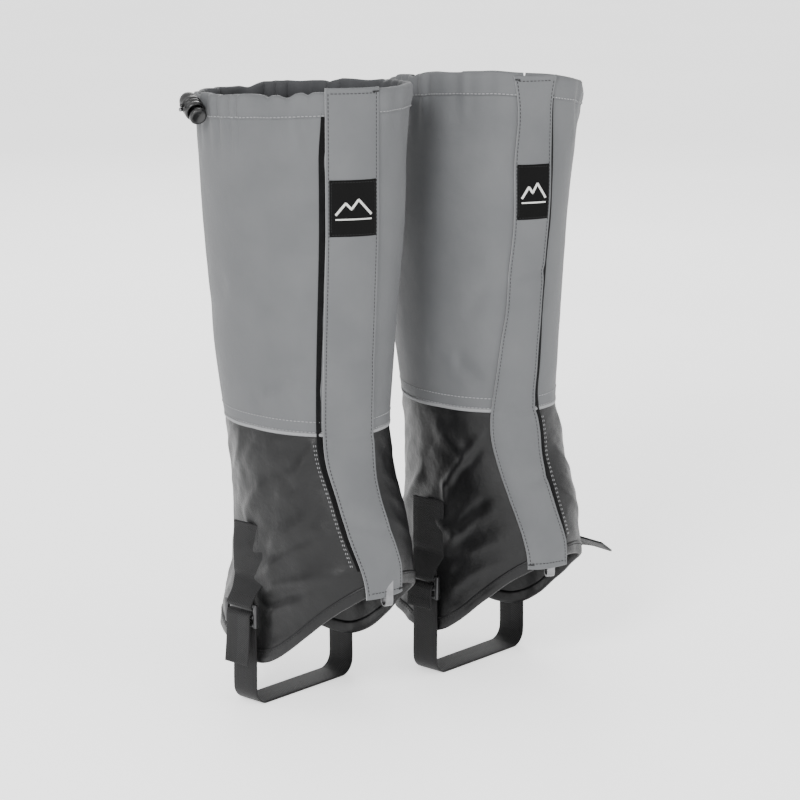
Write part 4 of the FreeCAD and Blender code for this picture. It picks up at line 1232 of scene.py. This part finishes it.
def under_foot_strap(gaiter):
    """The strap under the boot: up each side, round the middle bars and down outside."""
    side = gaiter.side
    node = side + "_instep_strap"
    low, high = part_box(node)
    y = (low.y + high.y) / 2
    centre_x = (low.x + high.x) / 2
    bar = np.array(JOINTS[side + "_strap_hinge"]["pos_m"])
    reach = abs(bar[0] - centre_x)
    wrap = (high.z - bar[2]) - 0.8 * MM
    floor, bend = 0.8 * MM, 12 * MM
    tails = {gaiter.outward: 38 * MM if side == "right" else 4 * MM, -gaiter.outward: 16 * MM}

    def half_run(way):
        """From the middle of the sole up to the tail's end, on one side."""
        inner, outer = reach - wrap, reach + wrap
        arc = [(inner - bend + bend * math.sin(t), floor + bend - bend * math.cos(t))
               for t in np.linspace(0.1, math.pi / 2, 8)]
        rise = [(inner, z) for z in np.linspace(floor + bend + 4 * MM, bar[2] - 4 * MM, 7)]
        rise = [(x + 0.15 * MM * math.sin(z * 120), z) for x, z in rise]
        over = [(reach - wrap * math.cos(t), bar[2] + wrap * math.sin(t))
                for t in np.linspace(0.0, math.pi, 9)]
        spread = 2.5 if side == "right" and way == gaiter.outward else 0.6
        tail = [(outer + spread * MM * (s ** 2), bar[2] - s * tails[way]) for s in np.linspace(0.25, 1, 4)]
        return [(centre_x + way * x, z) for x, z in arc + rise + over + tail]

    left, right = half_run(-1), half_run(1)
    flat = [(centre_x + x * MM, floor) for x in (-32, -16, 0, 16, 32)]
    line = left[::-1] + flat + right
    path = smooth_path([Vector((x, y, z)) for x, z in line], 260)
    path[:, 2] = np.maximum(path[:, 2], floor)
    ways = np.gradient(path, axis=0)
    ways /= np.linalg.norm(ways, axis=1, keepdims=True)
    across = [np.array([0, 1.0, 0])] * len(path)
    faces = [np.cross(way, [0, 1.0, 0]) for way in ways]
    strap = webbing(side + "_webbing_strap", path, across, faces, 25 * MM, 1.6 * MM)
    rides(strap, side + "_strap", "black_webbing", node)
    # the sewn end is stitched back to the strap on the inner side
    for number, drop in enumerate((9, 12)):
        z = bar[2] - drop * MM
        x = centre_x - gaiter.outward * (reach + wrap + 1.05 * MM)
        points = [np.array([x, y + s, z]) for s in np.linspace(-10.5, 10.5, 20) * MM]
        normals = [np.array([-float(gaiter.outward), 0, 0])] * 20
        row = stitches("%s_sewn_end_row_%d" % (side, number + 1), points, normals, "black_thread", pitch=2.2,
                       length=1.6, radius=0.24)
        rides(row, side + "_strap", "black_webbing")


def free_strap_end():
    """The left strap's long end, which twists out of its buckle and stands forwards."""
    bar = np.array(JOINTS["left_strap_hinge"]["pos_m"]) + np.array([5.15, 0, 0]) * MM
    stations = [((0.2, 0, -3), (0, -1, 0), (1, 0, 0)), ((0.4, 0, 1), (0, -1, 0), (1, 0, 0.2)),
                ((4.3, -6, 9), (0.25, -0.9, -0.35), (0.75, 0, 0.65)),
                ((10.3, -26, 17), (0.8, -0.25, -0.55), (0.5, 0, 0.85)),
                ((12.3, -52, 20.5), (0.85, 0.1, -0.5), (0.5, 0, 0.86)),
                ((14.3, -80, 19), (0.84, 0.2, -0.5), (0.5, 0, 0.86))]
    middles = smooth_path([bar + np.array(place) * MM for place, _, _ in stations], 60)
    keys = np.linspace(0, 1, len(stations))
    shares = np.linspace(0, 1, 60)
    across, faces = [], []
    for share in shares:
        a = np.array([np.interp(share, keys, [s[1][k] for s in stations]) for k in range(3)])
        f = np.array([np.interp(share, keys, [s[2][k] for s in stations]) for k in range(3)])
        a /= np.linalg.norm(a)
        f = f - a * (f @ a)
        across.append(a)
        faces.append(f / np.linalg.norm(f))
    tail = webbing("left_free_strap_end", middles, across, faces, 25 * MM, 1.6 * MM)
    rides(tail, "left_strap", "black_webbing", "left_strap_tail")


# ---------------------------------------------------------------- the whole pair

def lace_hook(gaiter):
    node = gaiter.side + "_lace_hook"
    dress(node, "steel")
    low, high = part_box(node)
    spot = Vector(((low.x + high.x) / 2, low.y, high.z - 0.004))
    rivet = lathe(gaiter.side + "_hook_rivet", spot + Vector((0, 1.2 * MM, 0)), (0, -1, 0),
                  [(x * MM, r * MM) for x, r in ((-0.4, 1.6), (0.2, 1.6), (0.6, 1.1), (0.7, 0))],
                  ["steel"], 24)
    rides(rivet, gaiter.side + "_shell", "steel")


set_camera()
set_studio()
for gaiter in [Gaiter(side) for side in SIDES]:
    upper_cloth(gaiter)
    lower_cloth(gaiter)
    colour_change_fold(gaiter)
    top_casing(gaiter)
    bottom_hem(gaiter)
    tape_strips(gaiter)
    front_flap(gaiter)
    seams(gaiter)
    tape_stitches(gaiter)
    flap_stitches(gaiter)
    woven_patch(gaiter)
    cord_lock(gaiter)
    lace_hook(gaiter)
    for place, way in (("outer", gaiter.outward), ("inner", -gaiter.outward)):
        hung_tab(gaiter, place, way)
        ladder_buckle(gaiter, place, way)
    under_foot_strap(gaiter)
    if gaiter.side == "left":
        free_strap_end()

floor = make_mesh("floor", [(-9, -9, 0), (9, -9, 0), (9, 9, 0), (-9, 9, 0)], [(0, 1, 2, 3)], ["floor"])
